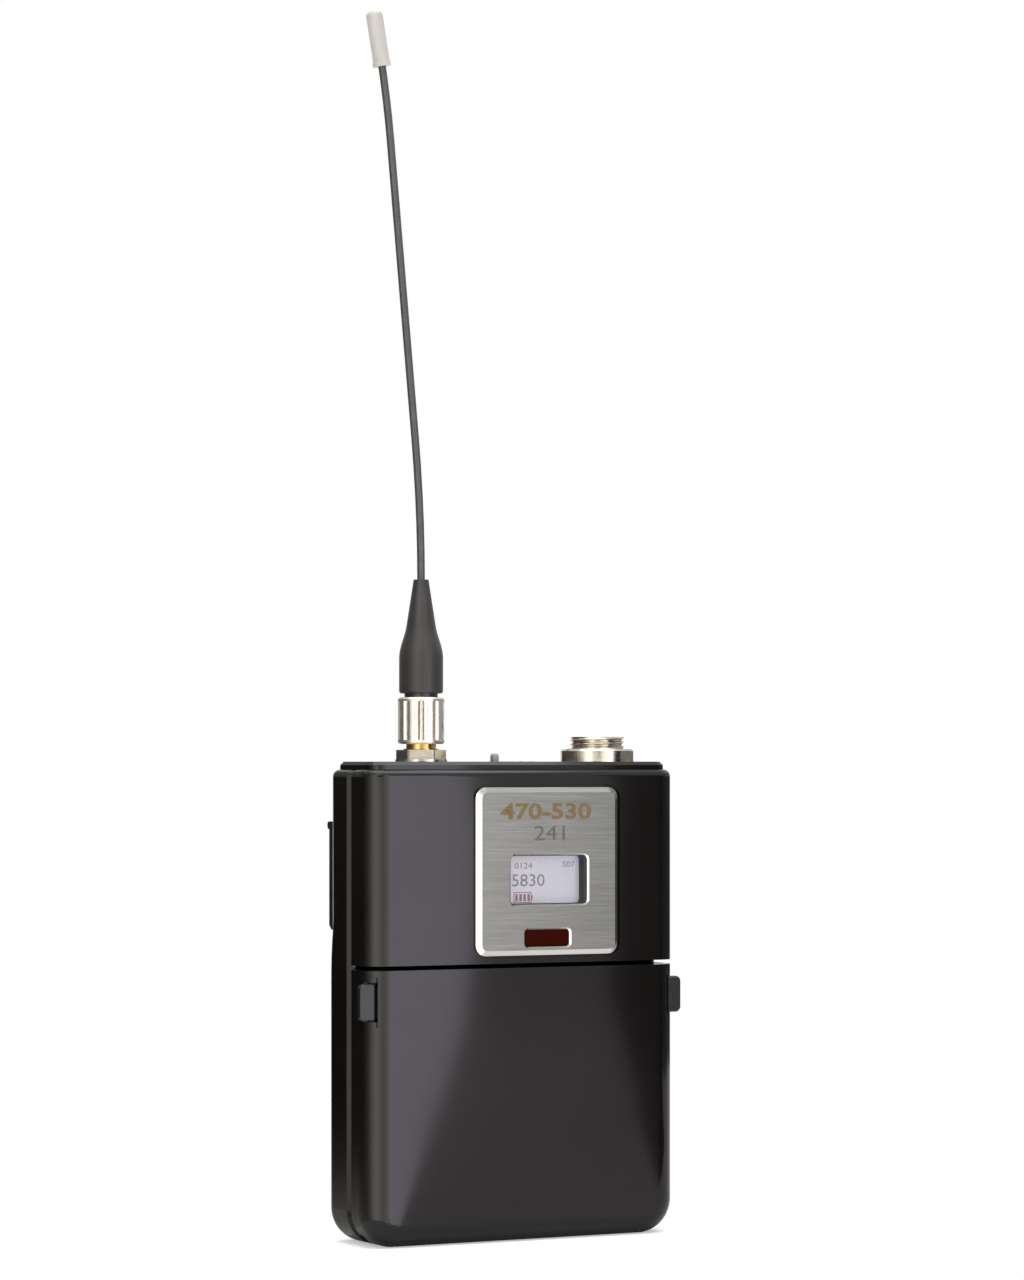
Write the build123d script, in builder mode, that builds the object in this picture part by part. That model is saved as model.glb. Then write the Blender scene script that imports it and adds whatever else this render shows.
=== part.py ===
"""Wireless bodypack transmitter: cast shell, hinged battery door, clip, antenna and connectors.

Frame: +X to the right seen from the front, the front faces -Y, +Z up. The origin is the centre of
the bottom face. All sizes are millimetres.
"""
import os
from math import cos, radians, sin, tan

from build123d import *

# ---------------------------------------------------------------- driving dimensions
# shell
body_width = 62.6
body_height = 86.0
body_depth = 18.0
corner_round = 6.3
front_edge_round = 4.1
rear_edge_round = 4.0
top_edge_round = 1.3
front_wall = 1.3
side_wall = 1.3
floor_wall = 1.2
rear_wall = 1.2
shell_joint_from_front = 8.1
shell_joint_gap = 0.12
rear_bevel = 0.9
front_bevel = 0.9
rear_bulge = 0.7
bulge_top = 34.0
bulge_ramp = 4.0
# top plate
plate_thickness = 1.4
plate_inset = 1.3
plate_bevel = 0.6
# split between the upper front shell and the battery door
split_low = 49.1
split_gap = 0.8
# steel bezel and windows
bezel_width = 28.8
bezel_height = 30.1
bezel_low = 51.3
bezel_centre_x = 4.2
bezel_thickness = 1.45
bezel_proud = 0.75
bezel_corner = 2.0
bezel_bevel = 0.7
bezel_bevel_width = 0.9
bezel_margin = 0.5
screen_x = 4.3
screen_z = 64.8
screen_opening_width = 15.6
screen_opening_height = 8.8
screen_bevel = 0.28
screen_setback = 2.5
screen_corner = 0.9
ir_x = 3.95
ir_z = 54.35
ir_width = 9.0
ir_height = 3.1
ir_bevel = 0.3
ir_corner = 0.65
window_clearance = 0.15
lens_thickness = 0.6
display_depth = 2.4
display_border = 2.2
gasket_border = 1.8
# batteries
cell_radius = 7.1
cell_length = 50.5
cell_nub_radius = 2.7
cell_nub_length = 1.2
cell_pitch = 14.9
cell_low_z = 10.4
cell_y = 1.15
cell_clearance = 0.12
contact_thickness = 0.4
contact_room = 1.0
contact_width = 6.0
contact_height = 7.6
cradle_wall = 1.0
cradle_front = -0.6
# inner button panel
panel_front = -5.4
panel_thickness = 1.0
panel_half_width = 26.2
button_count = 4
button_pitch = 8.0
button_width = 5.4
button_height = 3.4
button_z = 41.5
button_travel = 0.3
button_clearance = 0.15
button_flange = 0.6
# battery door
hinge_y = -2.5
hinge_z = 1.6
hinge_radius = 1.6
hinge_pin_radius = 0.6
hinge_pin_length = 48.0
hinge_fit = 0.05
knuckle_inner = 15.0
knuckle_outer = 24.2
knuckle_gap = 0.25
door_lip_depth = 2.2
door_lip_thickness = 1.2
# side latches of the door
tab_height = 6.6
tab_z = 43.55
tab_proud = 1.2
tab_thickness = 1.5
tab_front = 1.35
tab_cap_shift = 0.4
tab_round = 1.0
tab_edge_round = 0.5
tab_clearance = 0.18
latch_arm_length = 7.6
latch_flange = 1.1
latch_flange_thickness = 0.8
latch_spring_length = 5.0
latch_spring_radius = 0.95
latch_spring_turns = 6
latch_spring_lift = 0.2
hook_back = -4.2
latch_pocket = 2.4
keeper_front = -4.6
keeper_gap = 0.2
keeper_thickness = 0.8
rail_width = 0.9
# antenna socket and antenna
antenna_x = -16.6
socket_hex = 8.0
socket_hex_height = 2.1
socket_neck_radius = 2.7
socket_thread_radius = 3.175
socket_bore_radius = 2.3
socket_top = 8.4
socket_depth = 8.0
nut_radius = 4.2
nut_low = 3.15
nut_high = 11.5
nut_fit = 0.08
nut_collar = 0.7
flute_count = 14
flute_radius = 1.1
flute_depth = 0.32
ferrule_flange_radius = 3.4
ferrule_flange_top = 9.4
ferrule_crimp_radius = 2.2
contact_radius = 0.64
ferrule_radius = 3.0
boot_radius = 3.95
boot_low = 12.2
boot_shoulder_low = 18.4
boot_shoulder_high = 24.2
boot_high = 32.6
boot_neck_radius = 2.65
boot_tip_radius = 1.35
boot_foot_round = 0.45
whip_radius = 0.7
whip_knee_rise = 45.0
whip_knee_radius = 280.0
whip_lean = 5.27
whip_bend_rise = 118.2
whip_bend_radius = 200.0
whip_end_lean = 9.7
whip_end_rise = 132.6
tip_radius = 1.5
tip_rise = 124.0
tip_length = 9.9
# microphone input
input_x = 19.3
input_ring_radius = 6.7
input_ring_height = 2.3
input_thread_radius = 5.0
input_thread_height = 2.2
input_bore_radius = 4.1
input_wall = 0.6
input_undercut = 0.4
input_depth = 11.0
input_pin_count = 4
input_pin_radius = 0.5
input_pin_circle = 2.1
# power switch and lamp
switch_x = -1.8
knob_width = 1.2
knob_depth = 1.6
knob_height = 1.5
switch_travel = 2.0
switch_slot_clearance = 0.2
lamp_x = 4.6
lamp_radius = 1.0
lamp_dome = 0.05
# circuit boards
board_front = 2.0
board_thickness = 1.2
board_low = 51.6
board_high = 73.4
board_half_width = 27.8
spacer_radius = 1.5
# belt clip
clip_pivot_z = 57.0
clip_pivot_y = 10.45
clip_plate_front = 11.8
clip_thickness = 1.4
clip_half_width = 28.6
clip_top = 75.2
clip_tongue_half_width = 14.0
clip_tongue_low = 13.0
clip_pin_radius = 0.8
clip_pin_fit = 0.06
clip_lug_thickness = 2.0
clip_lug_gap = 0.25
clip_lip_radius = 1.4
clip_wide_low = 55.7
clip_jaw_z = 17.0
clip_jaw_y = 10.9
clip_spring_turns = 7
clip_spring_pitch = 0.9
# fasteners
case_screw_radius = 1.0
case_screw_head_radius = 1.9
case_screw_head_height = 1.2
case_screw_places = [(-27.4, 79.0), (27.4, 79.0), (-20.5, 54.6), (20.5, 54.6)]
case_boss_radius = 2.4

# ---------------------------------------------------------------- values worked out from them
front_y = -body_depth / 2
rear_y = body_depth / 2
half_width = body_width / 2
shell_top = body_height - plate_thickness
joint_y = front_y + shell_joint_from_front
front_shell_back = joint_y - shell_joint_gap / 2
rear_shell_front = joint_y + shell_joint_gap / 2
split_high = split_low + split_gap
bezel_front = front_y - bezel_proud
bezel_back = bezel_front + bezel_thickness
screen_front = bezel_front + screen_setback
bulge_y = rear_y + rear_bulge
panel_back = panel_front + panel_thickness
cell_zs = [cell_low_z, cell_low_z + cell_pitch]
cradle_end = cell_length / 2 + contact_room
door_inner_y = front_y + front_wall
cradle_low = floor_wall + 1.0
hinge_web_top = cradle_low - 0.15
cradle_high = bulge_top - 0.5
cradle_back = bulge_y - rear_wall
tab_y = front_y + tab_front + tab_thickness / 2
tab_cap_y = tab_y - tab_cap_shift
input_stem_radius = input_bore_radius + input_wall
whip_knee_z = body_height + whip_knee_rise
whip_bend_z = body_height + whip_bend_rise
whip_end_z = body_height + whip_end_rise
tip_low_z = body_height + tip_rise
input_top = body_height + input_ring_height + input_thread_height
clip_ear_radius = 1.3
hook_x = half_width - side_wall - 1.8
latch_arm_inner = half_width - side_wall - latch_flange_thickness - latch_arm_length
latch_rail_inner = 17.0
latch_rail_length = 9.0
latch_rail_back = tab_y + tab_thickness / 2 + 0.1


def front_plane(y):
    """Sketch plane at depth y that faces the front: local x is +X, local y is +Z."""
    return Plane.XZ.offset(-y)


def rounded_block(half, low, high, front, back, corner, front_round=0.0, back_round=0.0,
                  front_cut=0.0, back_cut=0.0, top_round=0.0):
    """A slab with round lower corners, rounded or bevelled front and back edges and a round top edge."""
    spare = 8.0
    with BuildPart() as block:
        with BuildSketch(front_plane(front)) as outline:
            with Locations((0, (low + high + spare) / 2)):
                Rectangle(2 * half, high + spare - low)
            fillet(outline.vertices().group_by(Axis.Y)[0], corner)
        extrude(amount=-(back - front))
        for face_index, size, operation in ((0, front_round, fillet), (0, front_cut, chamfer),
                                            (-1, back_round, fillet), (-1, back_cut, chamfer)):
            if size > 0:
                edges = block.faces().sort_by(Axis.Y)[face_index].edges()
                operation([e for e in edges if e.center().Z < high + spare - 0.01], size)
        split(bisect_by=Plane.XY.offset(high), keep=Keep.BOTTOM)
        if top_round > 0:
            edges = block.faces().sort_by(Axis.Z)[-1].edges()
            skip = (back,) if front_round > 0 else (front,)
            operation_edges = [e for e in edges if abs(e.center().Y - skip[0]) > 0.01]
            fillet(operation_edges, top_round)
    return block.part


# ---------------------------------------------------------------- shared shell forms
front_form = rounded_block(half_width, 0, shell_top, front_y, front_shell_back, corner_round,
                           front_round=front_edge_round, back_cut=front_bevel, top_round=top_edge_round)
rear_form = rounded_block(half_width, 0, shell_top, rear_shell_front, rear_y, corner_round,
                          back_round=rear_edge_round, front_cut=rear_bevel, top_round=top_edge_round)
cavity_form = rounded_block(half_width - side_wall, floor_wall, shell_top - 1.2, front_y + front_wall,
                            rear_y - rear_wall, corner_round - side_wall,
                            front_round=front_edge_round - side_wall,
                            back_round=rear_edge_round - side_wall)
bulge_form = rounded_block(half_width, 0, 62, rear_shell_front + 1, bulge_y, corner_round,
                           back_round=rear_edge_round)
low_cavity_form = rounded_block(half_width - side_wall, floor_wall, bulge_top - 0.5, joint_y - 1,
                                bulge_y - rear_wall, corner_round - side_wall,
                                back_round=rear_edge_round - side_wall)

# ---------------------------------------------------------------- upper front shell
with BuildPart() as front_housing:
    add(front_form)
    add(cavity_form, mode=Mode.SUBTRACT)
    split(bisect_by=Plane.XY.offset(split_high), keep=Keep.TOP)
    # end wall that closes the shell above the split
    with BuildSketch(Plane.XY.offset(split_high)):
        with Locations((0, front_y + front_wall + 1.0)):
            Rectangle(2 * half_width - 2 * side_wall - 2.0, 2.4)
    extrude(amount=1.0)
    # screw bosses with their pilot holes
    with BuildSketch(front_plane(front_y + front_wall - 0.3)):
        with Locations(*case_screw_places):
            Circle(case_boss_radius)
    extrude(amount=-(front_shell_back - front_y - front_wall + 0.3))
    with BuildSketch(front_plane(front_shell_back)):
        with Locations(*case_screw_places):
            Circle(case_screw_radius)
    extrude(amount=5.0, mode=Mode.SUBTRACT)
    # shallow recess for the bezel
    with BuildSketch(front_plane(front_y)):
        with Locations((bezel_centre_x, bezel_low + bezel_height / 2)):
            RectangleRounded(bezel_width + 2 * bezel_margin, bezel_height + 2 * bezel_margin,
                             bezel_corner + bezel_margin)
    extrude(amount=-(bezel_back - front_y), mode=Mode.SUBTRACT)
    # openings behind the bezel's two windows
    with BuildSketch(front_plane(front_y)):
        with Locations((screen_x, screen_z)):
            RectangleRounded(screen_opening_width, screen_opening_height, screen_corner)
        with Locations((ir_x, ir_z)):
            Rectangle(ir_width, ir_height)
    extrude(amount=-front_wall, mode=Mode.SUBTRACT)
    # openings in the top wall
    with BuildSketch(Plane.XY.offset(shell_top - 2)):
        with Locations((antenna_x, 0)):
            Circle(socket_thread_radius + window_clearance)
        with Locations((input_x, 0)):
            Circle(input_thread_radius + window_clearance)
        with Locations((switch_x + switch_travel / 2, 0)):
            Rectangle(knob_width + switch_travel + 4 * switch_slot_clearance, knob_depth + 1.0)
        with Locations((lamp_x, 0)):
            Circle(lamp_radius + window_clearance)
    extrude(amount=4, mode=Mode.SUBTRACT)
front_housing.part.label = "front_housing"

# ---------------------------------------------------------------- rear shell
with BuildPart() as rear_housing:
    # deeper lower back that fades out over a shallow ramp
    add(bulge_form)
    ramp_slope = bulge_ramp / rear_bulge
    ramp_run = 32.0
    with BuildSketch(Plane.YZ):
        with BuildLine():
            Polyline((bulge_y + 1, bulge_top - ramp_slope), (bulge_y + 1, bulge_top + ramp_run),
                     (bulge_y - ramp_run / ramp_slope, bulge_top + ramp_run), close=True)
        make_face()
    extrude(amount=half_width + 5, both=True, mode=Mode.SUBTRACT)
    add(rear_form)
    add(cavity_form, mode=Mode.SUBTRACT)
    add(low_cavity_form, mode=Mode.SUBTRACT)
    # bosses for the case screws and for the main board
    with BuildSketch(front_plane(rear_shell_front)):
        with Locations(*case_screw_places):
            Circle(case_boss_radius)
    extrude(amount=-(rear_y - 0.5 - rear_shell_front))
    with BuildSketch(front_plane(board_front + board_thickness)):
        with Locations((-12, 70.5), (12, 70.5), (-8, 54), (8, 54)):
            Circle(1.8)
    extrude(amount=-(rear_y - 0.5 - board_front - board_thickness))
    with BuildSketch(front_plane(rear_y)):
        with Locations(*case_screw_places):
            Circle(case_screw_radius + 0.1)
    extrude(amount=body_depth, mode=Mode.SUBTRACT)
    with BuildSketch(front_plane(rear_y)):
        with Locations(*case_screw_places):
            Circle(case_screw_head_radius + 0.1)
    extrude(amount=case_screw_head_height + 0.2, mode=Mode.SUBTRACT)
    # ears that carry the clip's pivot pin
    for side in (-1, 1):
        ear_inner = side * (clip_half_width - clip_thickness - clip_lug_gap - clip_lug_thickness)
        with BuildSketch(Plane.YZ.offset(ear_inner)):
            with Locations((clip_pivot_y, clip_pivot_z)):
                Circle(clip_ear_radius)
            with Locations(((clip_pivot_y + rear_y - 0.6) / 2, clip_pivot_z)):
                Rectangle(clip_pivot_y - rear_y + 0.6, 2 * clip_ear_radius)
        extrude(amount=side * clip_lug_thickness)
    with BuildSketch(Plane.YZ.offset(-half_width)):
        with Locations((clip_pivot_y, clip_pivot_z)):
            Circle(clip_pin_radius)
    extrude(amount=2 * half_width, mode=Mode.SUBTRACT)
    # keepers beside the hooks of the two latches
    for side in (-1, 1):
        with BuildSketch(Plane.YZ.offset(side * (hook_x + 0.5 + keeper_gap))):
            with Locations(((keeper_front + 3.0) / 2, tab_z)):
                Rectangle(3.0 - keeper_front, 4.4)
        extrude(amount=side * keeper_thickness)
        with BuildSketch(Plane.YZ.offset(side * (hook_x + 0.5 + keeper_gap))):
            with Locations(((rear_shell_front + 3.0) / 2 + 0.1, tab_z)):
                Rectangle(3.0 - rear_shell_front - 0.2, 4.4)
        extrude(amount=side * (half_width - side_wall / 2 - hook_x - 0.5 - keeper_gap))
    # knuckle of the door hinge
    with BuildSketch(Plane.YZ.offset(-knuckle_inner + knuckle_gap)):
        with Locations((hinge_y, hinge_z)):
            Circle(hinge_radius)
        with Locations((hinge_y + 1.7, hinge_web_top / 2)):
            Rectangle(3.4, hinge_web_top)
    extrude(amount=2 * (knuckle_inner - knuckle_gap))
    with BuildSketch(Plane.YZ.offset(-knuckle_inner)):
        with Locations((hinge_y, hinge_z)):
            Circle(hinge_pin_radius)
    extrude(amount=2 * knuckle_inner, mode=Mode.SUBTRACT)
    # openings in the top wall
    with BuildSketch(Plane.XY.offset(shell_top - 2)):
        with Locations((antenna_x, 0)):
            Circle(socket_thread_radius + window_clearance)
        with Locations((input_x, 0)):
            Circle(input_thread_radius + window_clearance)
        with Locations((switch_x + switch_travel / 2, 0)):
            Rectangle(knob_width + switch_travel + 4 * switch_slot_clearance, knob_depth + 1.0)
        with Locations((lamp_x, 0)):
            Circle(lamp_radius + window_clearance)
    extrude(amount=4, mode=Mode.SUBTRACT)
rear_housing.part.label = "rear_housing"

# ---------------------------------------------------------------- battery door
with BuildPart() as battery_door:
    add(front_form)
    add(cavity_form, mode=Mode.SUBTRACT)
    split(bisect_by=Plane.XY.offset(split_low), keep=Keep.BOTTOM)
    # inward lip along the top edge
    with BuildSketch(Plane.XY.offset(split_low - door_lip_thickness)):
        with Locations((0, front_y + front_wall + door_lip_depth / 2 - 0.1)):
            Rectangle(2 * (half_width - side_wall) - 2.0, door_lip_depth)
    extrude(amount=door_lip_thickness)
    # round hinge edge, concentric with the pin
    with BuildSketch(Plane.YZ.offset(-knuckle_outer)):
        with Locations((hinge_y, hinge_z)):
            Circle(hinge_radius)
    extrude(amount=2 * knuckle_outer)
    with BuildSketch(Plane.YZ.offset(-half_width)):
        with BuildLine():
            Line((hinge_y, -1), (hinge_y + 5, -1))
            Line((hinge_y + 5, -1), (hinge_y + 5, hinge_z))
            Line((hinge_y + 5, hinge_z), (hinge_y + hinge_radius, hinge_z))
            RadiusArc((hinge_y + hinge_radius, hinge_z), (hinge_y, hinge_z - hinge_radius), hinge_radius)
            Line((hinge_y, hinge_z - hinge_radius), (hinge_y, -1))
        make_face()
    extrude(amount=2 * half_width, mode=Mode.SUBTRACT)
    # notch for the shell's knuckle
    with BuildSketch(Plane.YZ.offset(-knuckle_inner)):
        with Locations((hinge_y + 1.2, hinge_z)):
            Rectangle(2 * (hinge_radius + 1.5), 2 * hinge_radius + 1)
    extrude(amount=2 * knuckle_inner, mode=Mode.SUBTRACT)
    with BuildSketch(Plane.YZ.offset(-half_width)):
        with Locations((hinge_y, hinge_z)):
            Circle(hinge_pin_radius + hinge_fit)
    extrude(amount=2 * half_width, mode=Mode.SUBTRACT)
    # slots for the latch tabs, each with a shallow relief in front of it
    for side in (-1, 1):
        with BuildSketch(Plane.YZ.offset(side * (half_width - side_wall - 1.5))):
            with Locations((tab_cap_y, tab_z)):
                Rectangle(tab_thickness + 2 * tab_clearance, tab_height + 2 * tab_clearance)
        extrude(amount=side * 5, mode=Mode.SUBTRACT)
        with BuildSketch(Plane.YZ.offset(side * (half_width - 2.2))):
            with Locations((front_y + 0.75, tab_z)):
                Rectangle(0.4, tab_height + 2.2)
        extrude(amount=side * 5, mode=Mode.SUBTRACT)
    # pockets in which the latch flanges slide
    for side in (-1, 1):
        with BuildSketch(front_plane(door_inner_y + 0.25)):
            with Locations((side * (half_width - side_wall - latch_pocket / 2), tab_z)):
                Rectangle(latch_pocket, tab_height + 2 * latch_flange + 0.4)
        extrude(amount=-4.0, mode=Mode.SUBTRACT)
    # rails that guide the latch arms and posts for their springs
    for side in (-1, 1):
        for rail_z in (tab_z - tab_height / 2 - 1.4, tab_z + tab_height / 2 + 0.5):
            with BuildSketch(Plane.YZ.offset(side * latch_rail_inner)):
                with Locations(((door_inner_y + latch_rail_back) / 2, rail_z + rail_width / 2)):
                    Rectangle(latch_rail_back - door_inner_y + 0.6, rail_width)
            extrude(amount=side * latch_rail_length)
        with BuildSketch(Plane.YZ.offset(side * (latch_arm_inner - latch_spring_length))):
            with Locations(((door_inner_y + latch_rail_back) / 2, tab_z)):
                Rectangle(latch_rail_back - door_inner_y + 0.6, 4)
        extrude(amount=side * -1.2)
battery_door.part.label = "battery_door"

# ---------------------------------------------------------------- top plate
with BuildPart() as top_plate:
    with BuildSketch(Plane.XY.offset(shell_top)) as plate_outline:
        Rectangle(body_width - 2 * plate_inset, body_depth - 2 * plate_inset)
        fillet(plate_outline.vertices().group_by(Axis.Y)[0], front_edge_round - plate_inset)
        fillet(plate_outline.vertices().group_by(Axis.Y)[-1], rear_edge_round - plate_inset)
    extrude(amount=plate_thickness)
    chamfer(top_plate.faces().sort_by(Axis.Z)[-1].edges(), plate_bevel)
    with BuildSketch(Plane.XY.offset(shell_top)):
        with Locations((antenna_x, 0)):
            Circle(socket_thread_radius)
        with Locations((input_x, 0)):
            Circle(input_stem_radius)
        with Locations((switch_x + switch_travel / 2, 0)):
            Rectangle(knob_width + switch_travel + 2 * switch_slot_clearance,
                      knob_depth + 2 * switch_slot_clearance)
        with Locations((lamp_x, 0)):
            Circle(lamp_radius)
    extrude(amount=plate_thickness, mode=Mode.SUBTRACT)
top_plate.part.label = "top_plate"

# ---------------------------------------------------------------- bezel and windows
with BuildPart() as bezel_plate:
    with BuildSketch(front_plane(bezel_back)):
        with Locations((bezel_centre_x, bezel_low + bezel_height / 2)):
            RectangleRounded(bezel_width, bezel_height, bezel_corner)
    extrude(amount=bezel_thickness)
    bezel_face = bezel_plate.faces().sort_by(Axis.Y)[0]
    chamfer(bezel_face.edges(), bezel_bevel_width, bezel_bevel, reference=bezel_face)
    for opening, width, height, bevel, round_size in (
            ((screen_x, screen_z), screen_opening_width, screen_opening_height, screen_bevel, screen_corner),
            ((ir_x, ir_z), ir_width, ir_height, ir_bevel, ir_corner)):
        with BuildSketch(front_plane(bezel_back)):
            with Locations(opening):
                RectangleRounded(width, height, round_size)
        extrude(amount=bezel_thickness, mode=Mode.SUBTRACT)
        mouth = bezel_plate.faces().sort_by(Axis.Y)[0].inner_wires()
        mouth_edges = [e for wire in mouth for e in wire.edges() if abs(e.center().Z - opening[1]) < height]
        chamfer(mouth_edges, bevel)
bezel_plate.part.label = "bezel_plate"

with BuildPart() as display_gasket:
    with BuildSketch(front_plane(screen_front)):
        with Locations((screen_x, screen_z)):
            Rectangle(screen_opening_width + 2 * gasket_border, screen_opening_height + 2 * gasket_border)
            Rectangle(screen_opening_width, screen_opening_height, mode=Mode.SUBTRACT)
    extrude(amount=screen_front - front_y - front_wall)
display_gasket.part.label = "display_gasket"

with BuildPart() as display_window:
    with BuildSketch(front_plane(screen_front)):
        with Locations((screen_x, screen_z)):
            Rectangle(screen_opening_width - 2 * window_clearance,
                      screen_opening_height - 2 * window_clearance)
    extrude(amount=lens_thickness)
display_window.part.label = "display_window"

with BuildPart() as display_module:
    with BuildSketch(front_plane(screen_front)):
        with Locations((screen_x, screen_z)):
            Rectangle(screen_opening_width + 2 * display_border, screen_opening_height + 2 * display_border)
    extrude(amount=-display_depth)
display_module.part.label = "display_module"

display_board_y = screen_front + display_depth
with BuildPart() as ir_window:
    with BuildSketch(front_plane(front_y + front_wall)):
        with Locations((ir_x, ir_z)):
            RectangleRounded(ir_width - window_clearance, ir_height - window_clearance, ir_corner - 0.05)
    extrude(amount=front_wall + 0.1)
    with BuildSketch(front_plane(front_y + front_wall)):
        with Locations((ir_x, ir_z)):
            Rectangle(ir_width + 2, ir_height + 0.8)
    extrude(amount=-0.6)
ir_window.part.label = "ir_window"

with BuildPart() as ir_emitter:
    with BuildSketch(front_plane(display_board_y)):
        with Locations((screen_x - 2, ir_z), (screen_x + 2, ir_z)):
            Rectangle(2.6, 2.6)
    extrude(amount=1.2)
    with BuildSketch(front_plane(display_board_y - 1.2)):
        with Locations((screen_x - 2, ir_z), (screen_x + 2, ir_z)):
            Circle(1.1)
    extrude(amount=0.5, taper=20)
ir_emitter.part.label = "ir_emitter"

# ---------------------------------------------------------------- circuit boards
with BuildPart() as display_board:
    with BuildSketch(front_plane(display_board_y)):
        with Locations((screen_x, (board_low + board_high) / 2)):
            Rectangle(25, board_high - board_low)
    extrude(amount=-1.0)
display_board.part.label = "display_board"

spacer_places = [(screen_x + dx, z) for dx in (-10.5, 10.5) for z in (board_low + 2, board_high - 2)]
with BuildPart() as board_spacers:
    with BuildSketch(front_plane(board_front)):
        with Locations(*spacer_places):
            RegularPolygon(spacer_radius, 6)
    extrude(amount=board_front - display_board_y - 1.0)
board_spacers.part.label = "board_spacers"

with BuildPart() as main_board:
    with BuildSketch(front_plane(board_front)):
        with Locations((0, (board_low + board_high) / 2)):
            Rectangle(2 * board_half_width, board_high - board_low)
        with Locations(*[place for place in case_screw_places if place[1] < board_high]):
            Circle(case_boss_radius + 0.4, mode=Mode.SUBTRACT)
    extrude(amount=-board_thickness)
main_board.part.label = "main_board"

with BuildPart() as rf_shield:
    with BuildSketch(front_plane(board_front + board_thickness)):
        with Locations((-19.5, 65.5)):
            Rectangle(11, 13)
        with Locations((19.5, 65.5)):
            Rectangle(11, 13)
    extrude(amount=-2.2)
    shield_fronts = rf_shield.faces().sort_by(Axis.Y)[:2]
    offset(amount=-0.3, openings=shield_fronts)
rf_shield.part.label = "rf_shield"

with BuildPart() as board_parts:
    part_back = board_front
    with BuildSketch(front_plane(part_back)):
        with Locations((-19, 65)):
            Rectangle(9, 9)
        with Locations((-13.5, 55), (23.8, 68)):
            Rectangle(3.2, 1.6)
        with Locations((24, 60)):
            Rectangle(4, 6)
    extrude(amount=1.1)
board_parts.part.label = "board_components"

# ---------------------------------------------------------------- batteries
with BuildPart() as battery_cradle:
    add(rounded_block(cradle_end + cradle_wall, cradle_low, cradle_high, cradle_front, cradle_back,
                      corner_round - 4.0, back_round=rear_edge_round - 2.0))
    with BuildSketch(Plane.YZ.offset(-cradle_end)):
        with Locations(*[(cell_y, z) for z in cell_zs]):
            Circle(cell_radius + cell_clearance)
    extrude(amount=2 * cradle_end, mode=Mode.SUBTRACT)
battery_cradle.part.label = "battery_cradle"

cells = []
for index, cell_z in enumerate(cell_zs):
    turn = 1 if index == 0 else -1
    with BuildPart() as battery_cell:
        can_length = cell_length - cell_nub_length
        with BuildSketch(Plane.YZ.offset(-turn * cell_length / 2)):
            with Locations((cell_y, cell_z)):
                Circle(cell_radius)
        extrude(amount=turn * can_length)
        fillet(battery_cell.edges(), 0.5)
        with BuildSketch(Plane.YZ.offset(turn * (cell_length / 2 - cell_nub_length))):
            with Locations((cell_y, cell_z)):
                Circle(cell_nub_radius)
        extrude(amount=turn * cell_nub_length)
    battery_cell.part.label = ("battery_cell_lower", "battery_cell_upper")[index]
    cells.append(battery_cell.part)

with BuildPart() as battery_contacts:
    for side in (-1, 1):
        with BuildSketch(Plane.YZ.offset(side * cradle_end)):
            with Locations(*[(cradle_front + 0.3 + contact_width / 2, z) for z in cell_zs]):
                Rectangle(contact_width, contact_height)
        extrude(amount=-side * contact_thickness)
battery_contacts.part.label = "battery_contacts"

with BuildPart() as battery_springs:
    # flattened two-turn springs behind the flat end of each cell
    for side, cell_z in ((-1, cell_zs[0]), (1, cell_zs[1])):
        room = contact_room - contact_thickness
        wire = room / 4
        base = side * (cradle_end - contact_thickness)
        for turn_radius, turn_x in ((3.4, base - side * wire), (3.2, base - side * 3 * wire)):
            with BuildSketch(Plane.YZ.offset(turn_x - wire)):
                with Locations((cell_y, cell_z)):
                    Circle(turn_radius + wire)
                    Circle(turn_radius - wire - 0.15, mode=Mode.SUBTRACT)
            extrude(amount=2 * wire)
battery_springs.part.label = "battery_springs"

# ---------------------------------------------------------------- menu buttons
button_xs = [(i - (button_count - 1) / 2) * button_pitch for i in range(button_count)]
panel_low = cradle_high
panel_high = split_low - door_lip_thickness - 0.6
panel_inner_width = 2 * (panel_half_width - panel_thickness)
panel_inner_height = panel_high - panel_low - 2 * panel_thickness
with BuildPart() as button_panel:
    with BuildSketch(front_plane(panel_front)):
        with Locations((0, (panel_low + panel_high) / 2)):
            Rectangle(2 * panel_half_width, panel_high - panel_low)
    extrude(amount=-(rear_y - rear_wall - panel_front))
    with BuildSketch(front_plane(panel_back)):
        with Locations((0, (panel_low + panel_high) / 2)):
            Rectangle(panel_inner_width, panel_inner_height)
    extrude(amount=-(body_depth), mode=Mode.SUBTRACT)
    with BuildSketch(front_plane(panel_front)):
        with Locations(*[(x, button_z) for x in button_xs]):
            RectangleRounded(button_width + 2 * button_clearance, button_height + 2 * button_clearance, 0.8)
    extrude(amount=-panel_thickness, mode=Mode.SUBTRACT)
button_panel.part.label = "button_panel"

cap_front = panel_front - 0.7
cap_back = panel_back + button_clearance + button_flange
menu_buttons = []
for index, button_x in enumerate(button_xs):
    with BuildPart() as menu_button:
        with BuildSketch(front_plane(cap_back)):
            with Locations((button_x, button_z)):
                RectangleRounded(button_width + 1.2, button_height + 1.2, 0.8)
        extrude(amount=button_flange)
        with BuildSketch(front_plane(cap_back)):
            with Locations((button_x, button_z)):
                RectangleRounded(button_width, button_height, 0.7)
        extrude(amount=cap_back - cap_front)
        fillet(menu_button.faces().sort_by(Axis.Y)[0].edges(), 0.25)
    menu_button.part.label = f"menu_button_{index + 1}"
    menu_buttons.append(menu_button.part)

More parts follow.
